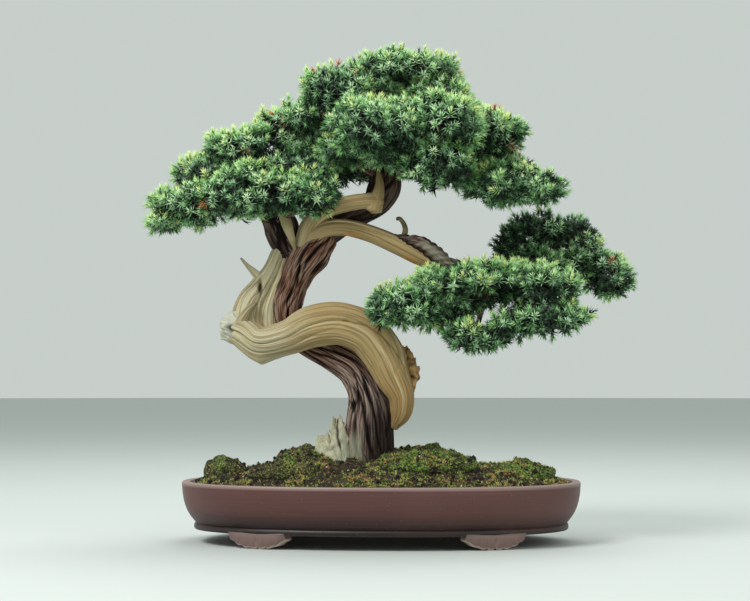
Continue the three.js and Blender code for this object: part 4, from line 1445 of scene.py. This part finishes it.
def carve_limb(u, v, places):
    """The underside of the right limb is stained orange."""
    under = np.exp(-(((u - 0.68) / 0.09) ** 2))
    patches = ease(np.sin(21 * v + 1.2) + 0.5 * np.sin(47 * v), -0.2, 1.0)
    seam = groove(u, v, [(0.2, 0.5), (0.5, 0.54), (0.95, 0.5)], 0.01, 1.6)
    seam = seam + groove(u, v, [(0.05, 0.38), (0.4, 0.4), (0.6, 0.42)], 0.01, 1.4)
    top = np.exp(-(((u - 0.29) / 0.075) ** 2)) * ease(v, 0.24, 0.3) * (1 - ease(v, 0.5, 0.58))
    stain = np.clip(1.1 * under * patches * ease(v, 0.1, 0.25), 0, 0.95)
    return seam, {"stain": stain, "shade": 0.85 * top}


def carve_hump(u, v, places):
    """The bark over the end of the right limb: dark edges, worn pale on its front."""
    top = np.exp(-(((u - 0.22) / 0.1) ** 2))
    front = np.exp(-(((u - 0.46) / 0.07) ** 2)) * ease(v, 0.35, 0.5) * (1 - ease(v, 0.85, 0.97))
    low = np.exp(-(((u - 0.63) / 0.07) ** 2))
    rough = np.sin(40 * v + 9 * u) * np.sin(23 * u + 31 * v)
    dark = np.clip(0.85 * top + 0.95 * low + 0.5 * (1 - ease(v, 0.2, 0.45)), 0, 0.92)
    return 1.4 * rough, {"shade": dark, "lichen": 0.8 * front}


def carve_apex(u, v, places):
    """Painted shade darkens the bark low in the heart of the crown."""
    return np.zeros_like(u), {"shade": 0.6 * (1 - ease(places[:, 2], 400, 440))}


def carve_left_shade(u, v, places):
    """Painted shade darkens the left branch all along, most where it leaves the trunk."""
    return np.zeros_like(u), {"shade": 0.3 + 0.3 * (1 - ease(places[:, 2], 345, 385))}


def carve_flake(u, v, places):
    """The flake at the foot is pale and torn, greener and dirtier where it meets the soil."""
    low = 1 - ease(places[:, 2], 76, 96)
    torn = np.sin(25 * u + 3) * np.sin(19 * u + 11 * v) * ease(v, 0.6, 0.95)
    split = groove(u, v, [(0.1, 0.44), (0.5, 0.5), (0.98, 0.46)], 0.02, 2.6)
    split = split + groove(u, v, [(0.3, 0.6), (0.7, 0.57), (0.98, 0.62)], 0.014, 2.0)
    green = 0.5 * low + 0.35 * ease(np.sin(13 * u + 7 * v), 0.2, 1.0)
    return split + 2.2 * torn, {"bone": np.full_like(u, 0.35), "lichen": np.clip(green, 0, 0.8)}


def carve_shard(u, v, places):
    """The taller shard beside the flake is mossy, with a dark split down its middle."""
    split = groove(u, v, [(0.05, 0.5), (0.5, 0.47), (0.98, 0.5)], 0.035, 3.4)
    torn = np.sin(21 * u + 2) * np.sin(17 * u + 9 * v + 1) * ease(v, 0.6, 0.95)
    green = 0.25 + 0.45 * ease(np.sin(17 * u + 9 * v), -0.2, 1.0)
    marks = {"lichen": green, "shade": 0.9 * ease(split, 0.8, 2.6), "bone": np.full_like(u, 0.5)}
    return split + 2.0 * torn, marks


def carve_chip(u, v, places):
    """The chip on the right edge is jagged and dark where it broke off."""
    jag = np.sin(17 * v + 5 * u) + 0.8 * np.sin(37 * v + 2 + 8 * u) + 0.6 * np.sin(23 * u + 9 * v)
    dark = ease(jag, 0.2, 1.6)
    return 0.8 * jag, {"stain": np.full_like(u, 0.55), "shade": 0.65 * dark}


def carve_wedge(u, v, places):
    """The wedge is a little stained, with greenish bands."""
    green = 0.35 * ease(np.sin(12 * v), -0.5, 1)
    return np.zeros_like(u), {"stain": np.full_like(u, 0.2), "lichen": green}


TEAR_DEPTH = 15.0
TEAR_UNEVENNESS = 3.5


def splinter(piece, foot, seed):
    """Tears a small piece of wood above a height and makes its faces uneven."""
    points = points_of(piece)
    x, y, z = ((points - POT_MIDDLE) / MM).T
    torn = plan_noise(2.2 * x, y, 5.0, seed) - 0.5
    points[:, 2] += ease(z, foot, z.max()) * torn * TEAR_DEPTH * MM
    points[:, 1] += (plan_noise(x, z, 6.0, seed + 1) - 0.5) * TEAR_UNEVENNESS * MM
    points[:, 0] += (plan_noise(z, y, 7.0, seed + 2) - 0.5) * TEAR_UNEVENNESS * MM
    set_points(piece, points)


def roughen_end(piece, middle):
    """Breaks the smooth round end of the band into blunt knobs and pits."""
    points = points_of(piece)
    away = points - at_pot(middle)
    side, rise = away[:, 1] / MM, away[:, 2] / MM
    near = 1 - ease(np.linalg.norm(away, axis=1), 0.017, 0.026)
    knobs = plan_noise(side, rise, 7.0, 91) * 9.0 + plan_noise(side, rise, 3.4, 92) * 3.0
    points[:, 0] += near * (6.5 - knobs) * MM
    set_points(piece, points)


# Bare wood: piece, CAD node, stations, rings round and along, share of the grain's depth,
# seed, and what carves it.
TRUNK_DEADWOOD = (
    ("deadwood_band", "trunk", DEADWOOD_BAND, 160, 240, 1.0, 11, carve_band),
    ("deadwood_flank", "trunk", DEADWOOD_FLANK, 110, 130, 1.0, 12, carve_flank),
    ("deadwood_web", "trunk", DEADWOOD_WEB, 72, 100, 1.0, 15, None),
    ("deadwood_chip", "trunk", BROKEN_CHIP, 56, 90, 0.7, 13, carve_chip),
    ("deadwood_knob_stub", "trunk", KNOB_STUB, 40, 40, 0.5, 14, carve_stub),
)
BARE_LIMBS = (
    ("upper_limb_wood", "upper_limb", UPPER_LIMB, 72, 110, 0.6, 21, None),
    ("right_limb_wood", "right_limb", RIGHT_LIMB, 84, 160, 0.7, 22, carve_limb),
    ("spur_jin_wood", "spur_jin", SPUR_JIN, 32, 48, 0.3, 23, None),
    ("hook_jin_wood", "hook_jin", HOOK_JIN, 32, 60, 0.3, 24, carve_hook),
    ("crotch_wedge_wood", "upper_limb", CROTCH_WEDGE, 40, 50, 0.5, 28, None),
    ("wedge_jin_wood", "wedge_jin", WEDGE_JIN, 40, 60, 0.6, 25, carve_wedge),
    ("base_flake_wood", "base_flake", BASE_FLAKE, 64, 72, 0.8, 26, carve_flake),
    ("mossy_shard_wood", "base_flake", MOSSY_SHARD, 56, 72, 0.8, 27, carve_shard),
)
# Pieces with a torn end: the height that it starts at, and its seed.
TORN = {"deadwood_chip": (180, 103), "base_flake_wood": (92, 26), "mossy_shard_wood": (92, 27)}


def lay_bare_wood(rows, settings):
    material = bare_wood_finish(settings)
    for name, node, stations, around, along, share, seed, carve in rows:
        depth = settings.grain_depth * share
        piece = strand(name, stations, around, along, grain_relief, depth, seed, carve=carve)
        if name == "deadwood_band":
            roughen_end(piece, stations[-1][:3])
        if name in TORN:
            splinter(piece, *TORN[name])
        dress(piece, material, "deadwood", node)


class BONSAI_OT_live_vein(bpy.types.Operator):
    """Runs the live, bark-covered vein up the trunk"""

    bl_idname = "bonsai.live_vein"
    bl_label = "Live vein"
    bl_options = {"REGISTER", "UNDO"}

    def execute(self, context):
        settings = context.scene.bonsai_wood
        vein = strand(
            "live_vein", LIVE_VEIN, 176, 220, bark_relief, settings.bark_depth, 5, carve=carve_vein
        )
        dress(vein, bark_finish("trunk_bark", settings, 0.185, 0.24), "bark", "trunk")
        root = root_finish()
        for name in ("root_front_left", "root_front_right", "root_rear_left", "root_rear_right"):
            paint(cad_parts[name], root)
        return {"FINISHED"}


class BONSAI_OT_deadwood(bpy.types.Operator):
    """Lays the bare wood round the trunk: the band, its flank, its chip and its knob"""

    bl_idname = "bonsai.deadwood"
    bl_label = "Trunk deadwood"
    bl_options = {"REGISTER", "UNDO"}

    def execute(self, context):
        lay_bare_wood(TRUNK_DEADWOOD, context.scene.bonsai_wood)
        return {"FINISHED"}


class BONSAI_OT_limbs(bpy.types.Operator):
    """Bends the bare upper and right limbs, the jins and the flake at the foot"""

    bl_idname = "bonsai.limbs"
    bl_label = "Bare limbs and jins"
    bl_options = {"REGISTER", "UNDO"}

    def execute(self, context):
        lay_bare_wood(BARE_LIMBS, context.scene.bonsai_wood)
        return {"FINISHED"}


class BONSAI_OT_branches(bpy.types.Operator):
    """Grows the bark-covered branches, each with its forks"""

    bl_idname = "bonsai.branches"
    bl_label = "Branches"
    bl_options = {"REGISTER", "UNDO"}

    def execute(self, context):
        settings = context.scene.bonsai_wood
        material = bark_finish("branch_bark", settings, 0.30, 0.50)
        carvings = {"apex_trunk": carve_apex, "left_branch": carve_left_shade}
        for seed, (name, routes) in enumerate(BARK_STEMS.items(), 40):
            pieces = []
            for fork, stations in enumerate(routes):
                half = stations[0][3]
                around, along = (72, 120) if half > 10 else (28, 48)
                depth = settings.bark_depth * min(1, half / 14)
                pieces.append(strand(
                    f"{name}_{fork}", stations, around, along, bark_relief, depth,
                    seed + 7 * fork, carve=carvings.get(name),
                ))
            dress(joined(f"{name}_bark", pieces), material, "bark", name)
        depth = settings.bark_depth * 0.8
        hump = strand("limb_bark", LIMB_BARK, 64, 90, bark_relief, depth, 61, carve=carve_hump)
        dress(hump, material, "bark", "right_limb")
        return {"FINISHED"}


# ------------------------------------------------------------------ foliage

JOINED_GAP = 0.0016  # nearer to another pad than this, in metres, nothing grows
BACK_OF_TUFT = 0.021  # how far behind the surface a twig ends, in metres
LIT_WHORLS, SHADED_WHORLS = 5, 3
SHADED_WIDTH = 1.35  # needles inside a pad are fewer and wider


def triangles_of(node):
    """The corners of each triangle of a CAD node."""
    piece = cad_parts[node]
    points = points_of(piece)
    piece.data.calc_loop_triangles()
    corners = np.empty(len(piece.data.loop_triangles) * 3, np.int32)
    piece.data.loop_triangles.foreach_get("vertices", corners)
    return points[corners.reshape(-1, 3)]


def surface_points(triangles, spacing, rng):
    """Points spread over triangles about a spacing apart, with the way out at each."""
    edges = np.cross(triangles[:, 1] - triangles[:, 0], triangles[:, 2] - triangles[:, 0])
    area = np.linalg.norm(edges, axis=1) / 2
    tries = int(area.sum() / (spacing * spacing) * 7)
    chosen = rng.choice(len(area), tries, p=area / area.sum())
    a, b = rng.random(tries), rng.random(tries)
    flip = a + b > 1
    a, b = np.where(flip, 1 - a, a)[:, None], np.where(flip, 1 - b, b)[:, None]
    corner = triangles[chosen]
    points = corner[:, 0] + a * (corner[:, 1] - corner[:, 0]) + b * (corner[:, 2] - corner[:, 0])
    kept, cells = [], {}
    for index, point in enumerate(points):
        key = tuple((point // spacing).astype(int))
        near = (
            other
            for i in (-1, 0, 1) for j in (-1, 0, 1) for k in (-1, 0, 1)
            for other in cells.get((key[0] + i, key[1] + j, key[2] + k), ())
        )
        if all(((points[other] - point) ** 2).sum() > spacing**2 for other in near):
            kept.append(index)
            cells.setdefault(key, []).append(index)
    return points[kept], unit(edges[chosen][kept])


def clump_points(middle, half, spacing):
    """Points spread evenly over a rounded clump, with the way out at each."""
    sizes = np.array(half) * MM
    count = int(4 * pi * (sizes.prod() ** (2 / 3)) / spacing**2)
    turn = np.arange(count) * pi * (3 - 5**0.5)
    height = 1 - 2 * (np.arange(count) + 0.5) / count
    ring = np.sqrt(1 - height**2)
    ball = np.stack([ring * np.cos(turn), ring * np.sin(turn), height], 1)
    return at_pot(middle) + ball * sizes, unit(ball / sizes)


def neighbour_trees():
    """Each pad's triangles, and for each pad a tree that finds the nearest other pad."""
    shells = {pad: triangles_of(pad) for pad in FOLIAGE_PADS}
    trees = {}
    for pad in FOLIAGE_PADS:
        others = np.concatenate([shells[other] for other in FOLIAGE_PADS if other != pad])
        faces = np.arange(len(others) * 3).reshape(-1, 3).tolist()
        trees[pad] = BVHTree.FromPolygons(others.reshape(-1, 3).tolist(), faces)
    return shells, trees


def clear_of_windows(points):
    """Which points lie outside the gaps that open right through the foliage."""
    clear = np.ones(len(points), bool)
    for x, z, half_x, half_z in FOLIAGE_WINDOWS:
        middle = at_pot([x, 0, z])
        across = (points[:, 0] - middle[0]) / (half_x * MM)
        upright = (points[:, 2] - middle[2]) / (half_z * MM)
        clear &= np.hypot(across, upright) > 1
    return clear


def shoots(bases, axes, kinds, whorls, wide, settings, rng):
    """Needles in whorls of four along short shoots, steeper towards the tip."""
    count = len(bases)
    side = unit(np.cross(axes, rng.normal(0, 1, (count, 3))))
    other = np.cross(axes, side)
    start = rng.uniform(0, 2 * pi, count)
    roots, ways, inners, lengths, shades = [], [], [], [], []
    for whorl in range(whorls):
        share = whorl / (whorls - 1)
        for quarter in range(4):
            turn = start + pi * quarter / 2 + whorl * pi / 4 + rng.normal(0, 0.2, count)
            lean = radians(80 - 60 * share) + rng.normal(0, 0.12, count)
            ring = side * np.cos(turn)[:, None] + other * np.sin(turn)[:, None]
            way = axes * np.cos(lean)[:, None] + ring * np.sin(lean)[:, None]
            way = unit(way + UP * 0.06)
            roots.append(bases + axes * (share * settings.shoot_length))
            ways.append(way)
            inners.append(unit(axes - way * np.einsum("ij,ij->i", axes, way)[:, None]))
            size = settings.needle_length * (1.0 - 0.24 * share)
            lengths.append(size * rng.uniform(0.8, 1.14, count))
            shades.append(kinds + 0.24 * (share - 0.6) + rng.normal(0, 0.06, count))
    roots, ways, inners = (np.concatenate(group) for group in (roots, ways, inners))
    lengths = np.concatenate(lengths)
    spent = np.tile(kinds > 0.995, 4 * whorls)
    shades = np.where(spent, 0.99, np.clip(np.concatenate(shades), 0.02, 0.93))
    widths = wide * settings.needle_width * rng.uniform(0.8, 1.15, len(lengths))
    return needle_points(roots, ways, inners, lengths, widths), shades


class BONSAI_OT_foliage(bpy.types.Operator):
    """Fills each pad of foliage with tufts of needle-covered shoots and the twigs behind them"""

    bl_idname = "bonsai.foliage"
    bl_label = "Foliage"
    bl_options = {"REGISTER", "UNDO"}

    def execute(self, context):
        settings = context.scene.bonsai_foliage
        needles, bark = needle_finish(settings), twig_finish()
        faces = needle_faces()
        shells, trees = neighbour_trees()
        limbs = self.limb_points()
        twigs = []
        for seed, pad in enumerate(FOLIAGE_PADS, 100):
            rng = np.random.default_rng(seed)
            tufts, tuft_out, points, out = self.starts(pad, shells[pad], settings, rng)
            points, out, swell = self.fill_gaps(points, out, trees[pad], settings)
            tone = PAD_LIGHT_AND_SHADE.get(pad, 0.0)
            spikes, kinds = self.pad_needles(points, out, swell, tufts, tone, settings, rng)
            chart = needle_chart(faces, kinds)
            piece = copies(f"{pad}_needles", spikes, faces, chart, np.asarray)
            dress(piece, needles, "foliage", pad)
            twigs.append(self.pad_twigs(pad, tufts - tuft_out * BACK_OF_TUFT, limbs, rng))
        dress(joined("foliage_twigs", twigs), bark, "bark", *FOLIAGE_PADS)
        return {"FINISHED"}

    @staticmethod
    def starts(pad, shell, settings, rng):
        """Where a pad's tufts and its shoots start, with the way out at each of them."""
        tufts, tuft_out = surface_points(shell, settings.tuft_spacing, rng)
        points, out = surface_points(shell, settings.shoot_spacing, rng)
        every = round((settings.tuft_spacing / settings.shoot_spacing) ** 2)
        for owner, middle, half in FOLIAGE_CLUMPS:
            if owner == pad:
                more, more_out = clump_points(middle, half, settings.shoot_spacing)
                points, out = np.concatenate([points, more]), np.concatenate([out, more_out])
                tufts = np.concatenate([tufts, more[::every]])
                tuft_out = np.concatenate([tuft_out, more_out[::every]])
        return tufts, tuft_out, points, out

    @staticmethod
    def fill_gaps(points, out, tree, settings):
        """Drops the shoots where pads meet and swells the others towards a pad close by."""
        nearest = [tree.find_nearest(Vector(point)) for point in points]
        gaps = np.array([found[3] for found in nearest])
        towards = unit(np.array([list(found[0]) for found in nearest]) - points)
        free = gaps > JOINED_GAP
        points, out, gaps, towards = points[free], out[free], gaps[free], towards[free]
        fill = np.clip(1 - gaps / settings.pad_gap, 0, 1)[:, None]
        swell = unit(out + 0.7 * fill * towards) * fill * (0.36 * settings.pad_gap)
        return points, out, swell

    @staticmethod
    def pad_needles(points, out, swell, tufts, pad_light_and_shade, settings, rng):
        """A lit outer layer of shoots gathered into tufts, and a layer under it painted dark as
        shade.
        """
        gaps = points[:, None] - tufts[None]
        nearest = (gaps**2).sum(-1).argmin(1)
        away = gaps[np.arange(len(points)), nearest]
        distance = np.linalg.norm(away, axis=1)
        room = settings.tuft_spacing * 0.56
        lowered = np.clip(distance / room, 0, 1.15) ** 2
        reach = 0.8 * settings.shoot_length + 0.45 * settings.needle_length - settings.overhang
        sunk = points + swell - out * (reach + settings.tuft_relief * lowered)[:, None]
        axes = unit(out + 0.8 * away / room + UP * 0.35 + rng.normal(0, 0.2, out.shape))
        clear = clear_of_windows(sunk + axes * settings.shoot_length)
        tone = pad_light_and_shade + rng.normal(0, 0.08, len(tufts))[nearest]
        # Painted light and shade: shoots that face up are lighter, shoots sunk between the tufts
        # darker, and each pad is shifted by its own painted light and shade; the rest is random
        # tone.
        kinds = 0.7 + 0.14 * out[:, 2] - 0.4 * lowered + tone + rng.normal(0, 0.1, len(points))
        young = rng.random(len(points))
        kinds = np.where((young > 0.94) & (out[:, 2] > -0.2), 0.86 + pad_light_and_shade, kinds)
        kinds = np.where(young > 0.9965, 1.0, kinds)
        outer = clear & (rng.random(len(points)) < np.where(lowered > 1.0, 0.6, 1.0))
        outer &= rng.random(len(points)) < np.where(out[:, 2] < -0.4, 0.75, 1.0)
        bright = np.clip(kinds[outer], 0.04, 1.0)
        lit = shoots(sunk[outer], axes[outer], bright, LIT_WHORLS, 1.0, settings, rng)
        heart = points.mean(0)
        share = np.where(rng.random(len(points)) < 0.6, 0.9, rng.uniform(0.3, 0.85, len(points)))
        under = heart + (sunk - out * 0.004 - heart) * share[:, None]
        under = under + rng.normal(0, 0.002, under.shape)
        lean = unit(axes + rng.normal(0, 0.5, axes.shape))
        clear = clear_of_windows(under + lean * settings.shoot_length)
        # Painted shade: the layer under the lit one takes the darkest greens.
        dark = 0.02 + 0.15 * rng.random(len(points))
        shaded = shoots(
            under[clear], lean[clear], dark[clear], SHADED_WHORLS, SHADED_WIDTH, settings, rng
        )
        return [np.concatenate(group) for group in zip(lit, shaded)]

    @staticmethod
    def limb_points():
        """Points along the branches, which the twigs grow from."""
        routes = [route for routes in BARK_STEMS.values() for route in routes]
        steps = np.linspace(0.25, 1, 14)
        return at_pot(np.concatenate([follow(route, steps)[:, :3] for route in routes]))

    @staticmethod
    def pad_twigs(pad, ends, limbs, rng):
        """Thin five-sided twigs from the nearest branch to the back of each tuft."""
        sides, rings = 5, 7
        starts = limbs[((ends[:, None] - limbs[None]) ** 2).sum(-1).argmin(1)]
        bend = rng.normal(0, 0.004, ends.shape) - UP * 0.003
        share = np.linspace(0, 1, rings)[None, :, None]
        route = starts[:, None] * (1 - share) + ends[:, None] * share
        route = route + bend[:, None] * np.sin(pi * share)
        way = unit(ends - starts)
        side = unit(np.cross(way, rng.normal(0, 1, way.shape)))[:, None, None]
        other = np.cross(way, side[:, 0, 0])[:, None, None]
        turn = 2 * pi * np.arange(sides) / sides
        radius = (0.0017 - 0.001 * share) * (1 - 0.9 * (share > 0.99))
        turn = turn[None, None, :, None]
        ring = side * np.cos(turn) + other * np.sin(turn)
        points = route[:, :, None] + ring * radius[..., None]
        points = points.reshape(len(ends), rings * sides, 3)
        faces = []
        for row in range(rings - 1):
            for corner in range(sides):
                a, b = row * sides + corner, row * sides + (corner + 1) % sides
                faces += [(a, b, a + sides), (b, b + sides, a + sides)]
        last = (rings - 1) * sides
        for corner in range(1, sides - 1):
            faces += [(0, corner + 1, corner), (last, last + corner, last + corner + 1)]
        faces = np.array(faces)
        chart = np.zeros((len(ends), len(faces), 3, 2))
        chart[..., 1, 0], chart[..., 2, 1] = 0.5, 0.5
        return copies(f"{pad}_twigs", points, faces, chart, np.asarray)


# ------------------------------------------------------------------ stage

# Soft lights: name, power in watts, size and place in metres.
LIGHTS = (
    ("key", 62.0, 1.2, (-1.3, -1.7, 2.3)),
    ("fill", 9.0, 1.8, (2.0, -1.5, 1.2)),
    ("top", 30.0, 1.4, (0.3, 0.9, 2.6)),
)
LIT_POINT = Vector((0, 0, 0.25))
AIR_STRENGTH = 0.85
FLOOR_RADIUS = 14.0


def facing(place, target):
    """The turn that points a lamp or a camera at a place."""
    return (target - place).to_track_quat("-Z", "Y").to_euler()


class BONSAI_OT_stage(bpy.types.Operator):
    """Sets up the camera, the plain floor and the soft studio light"""

    bl_idname = "bonsai.stage"
    bl_label = "Stage"
    bl_options = {"REGISTER", "UNDO"}

    def execute(self, context):
        settings = context.scene.bonsai_stage
        self.camera(context.scene, settings)
        deselect()
        bpy.ops.mesh.primitive_circle_add(vertices=96, radius=FLOOR_RADIUS, fill_type="NGON")
        floor = bpy.context.active_object
        floor.name = "floor"
        finish = Finish("plain_floor", Roughness=0.9)
        mottle = finish.noise(finish.place(), 3.0, 2.0)
        colour = finish.mix(mottle * 0.1, tuple(settings.floor), tint(190, 197, 193))
        floor.data.materials.append(finish.shows(Base_Color=colour))
        for name, energy, size, place in LIGHTS:
            light = bpy.data.lights.new(name, "AREA")
            light.energy, light.size = energy, size
            lamp = bpy.data.objects.new(name, light)
            lamp.location = place
            lamp.rotation_euler = facing(lamp.location, LIT_POINT)
            context.scene.collection.objects.link(lamp)
        world = bpy.data.worlds.new("pale_air")
        world.use_nodes = True
        background = world.node_tree.nodes["Background"]
        background.inputs["Color"].default_value = tuple(settings.air)
        background.inputs["Strength"].default_value = AIR_STRENGTH
        context.scene.world = world
        context.scene.view_settings.view_transform = "Standard"
        return {"FINISHED"}

    @staticmethod
    def camera(scene, settings):
        turn, distance = settings.camera_turn, settings.camera_distance
        middle = Vector(POT_MIDDLE)
        height = settings.camera_height
        eye = middle + Vector((distance * sin(turn), -distance * cos(turn), height))
        right = Vector((cos(turn), sin(turn), 0))
        rise = height + distance * tan(settings.camera_tilt)
        target = middle - right * settings.aside + Vector((0, 0, rise))
        lens = bpy.data.cameras.new("camera")
        lens.lens, lens.sensor_width, lens.clip_end = settings.lens, 36.0, 60.0
        camera = bpy.data.objects.new("camera", lens)
        camera.location = eye
        camera.rotation_euler = facing(eye, target)
        scene.collection.objects.link(camera)
        scene.camera = camera


# ------------------------------------------------------------------ panel and order of work

STEPS = (
    BONSAI_OT_stage, BONSAI_OT_pot, BONSAI_OT_pot_feet, BONSAI_OT_pot_fittings, BONSAI_OT_soil,
    BONSAI_OT_moss, BONSAI_OT_live_vein, BONSAI_OT_deadwood, BONSAI_OT_limbs, BONSAI_OT_branches,
    BONSAI_OT_foliage,
)
SETTINGS = {
    "bonsai_pot": PotSettings,
    "bonsai_ground": GroundSettings,
    "bonsai_wood": WoodSettings,
    "bonsai_foliage": FoliageSettings,
    "bonsai_stage": StageSettings,
}


class BONSAI_PT_panel(bpy.types.Panel):
    """Lists the sizes and colours, and one button for each group of pieces"""

    bl_idname = "BONSAI_PT_panel"
    bl_label = "Bonsai"
    bl_space_type = "VIEW_3D"
    bl_region_type = "UI"
    bl_category = "Bonsai"

    def draw(self, context):
        for name, group in SETTINGS.items():
            box = self.layout.box()
            box.label(text=name.split("_")[1].capitalize())
            for key in group.__annotations__:
                box.prop(getattr(context.scene, name), key)
        for step in STEPS:
            self.layout.operator(step.bl_idname)


def register():
    for name, group in SETTINGS.items():
        bpy.utils.register_class(group)
        setattr(bpy.types.Scene, name, PointerProperty(type=group))
    for step in STEPS:
        bpy.utils.register_class(step)
    bpy.utils.register_class(BONSAI_PT_panel)


def unregister():
    bpy.utils.unregister_class(BONSAI_PT_panel)
    for step in reversed(STEPS):
        bpy.utils.unregister_class(step)
    for name, group in reversed(SETTINGS.items()):
        delattr(bpy.types.Scene, name)
        bpy.utils.unregister_class(group)


def main():
    register()
    for step in STEPS:
        family, action = step.bl_idname.split(".")
        getattr(getattr(bpy.ops, family), action)()


if __name__ == "__main__":
    main()
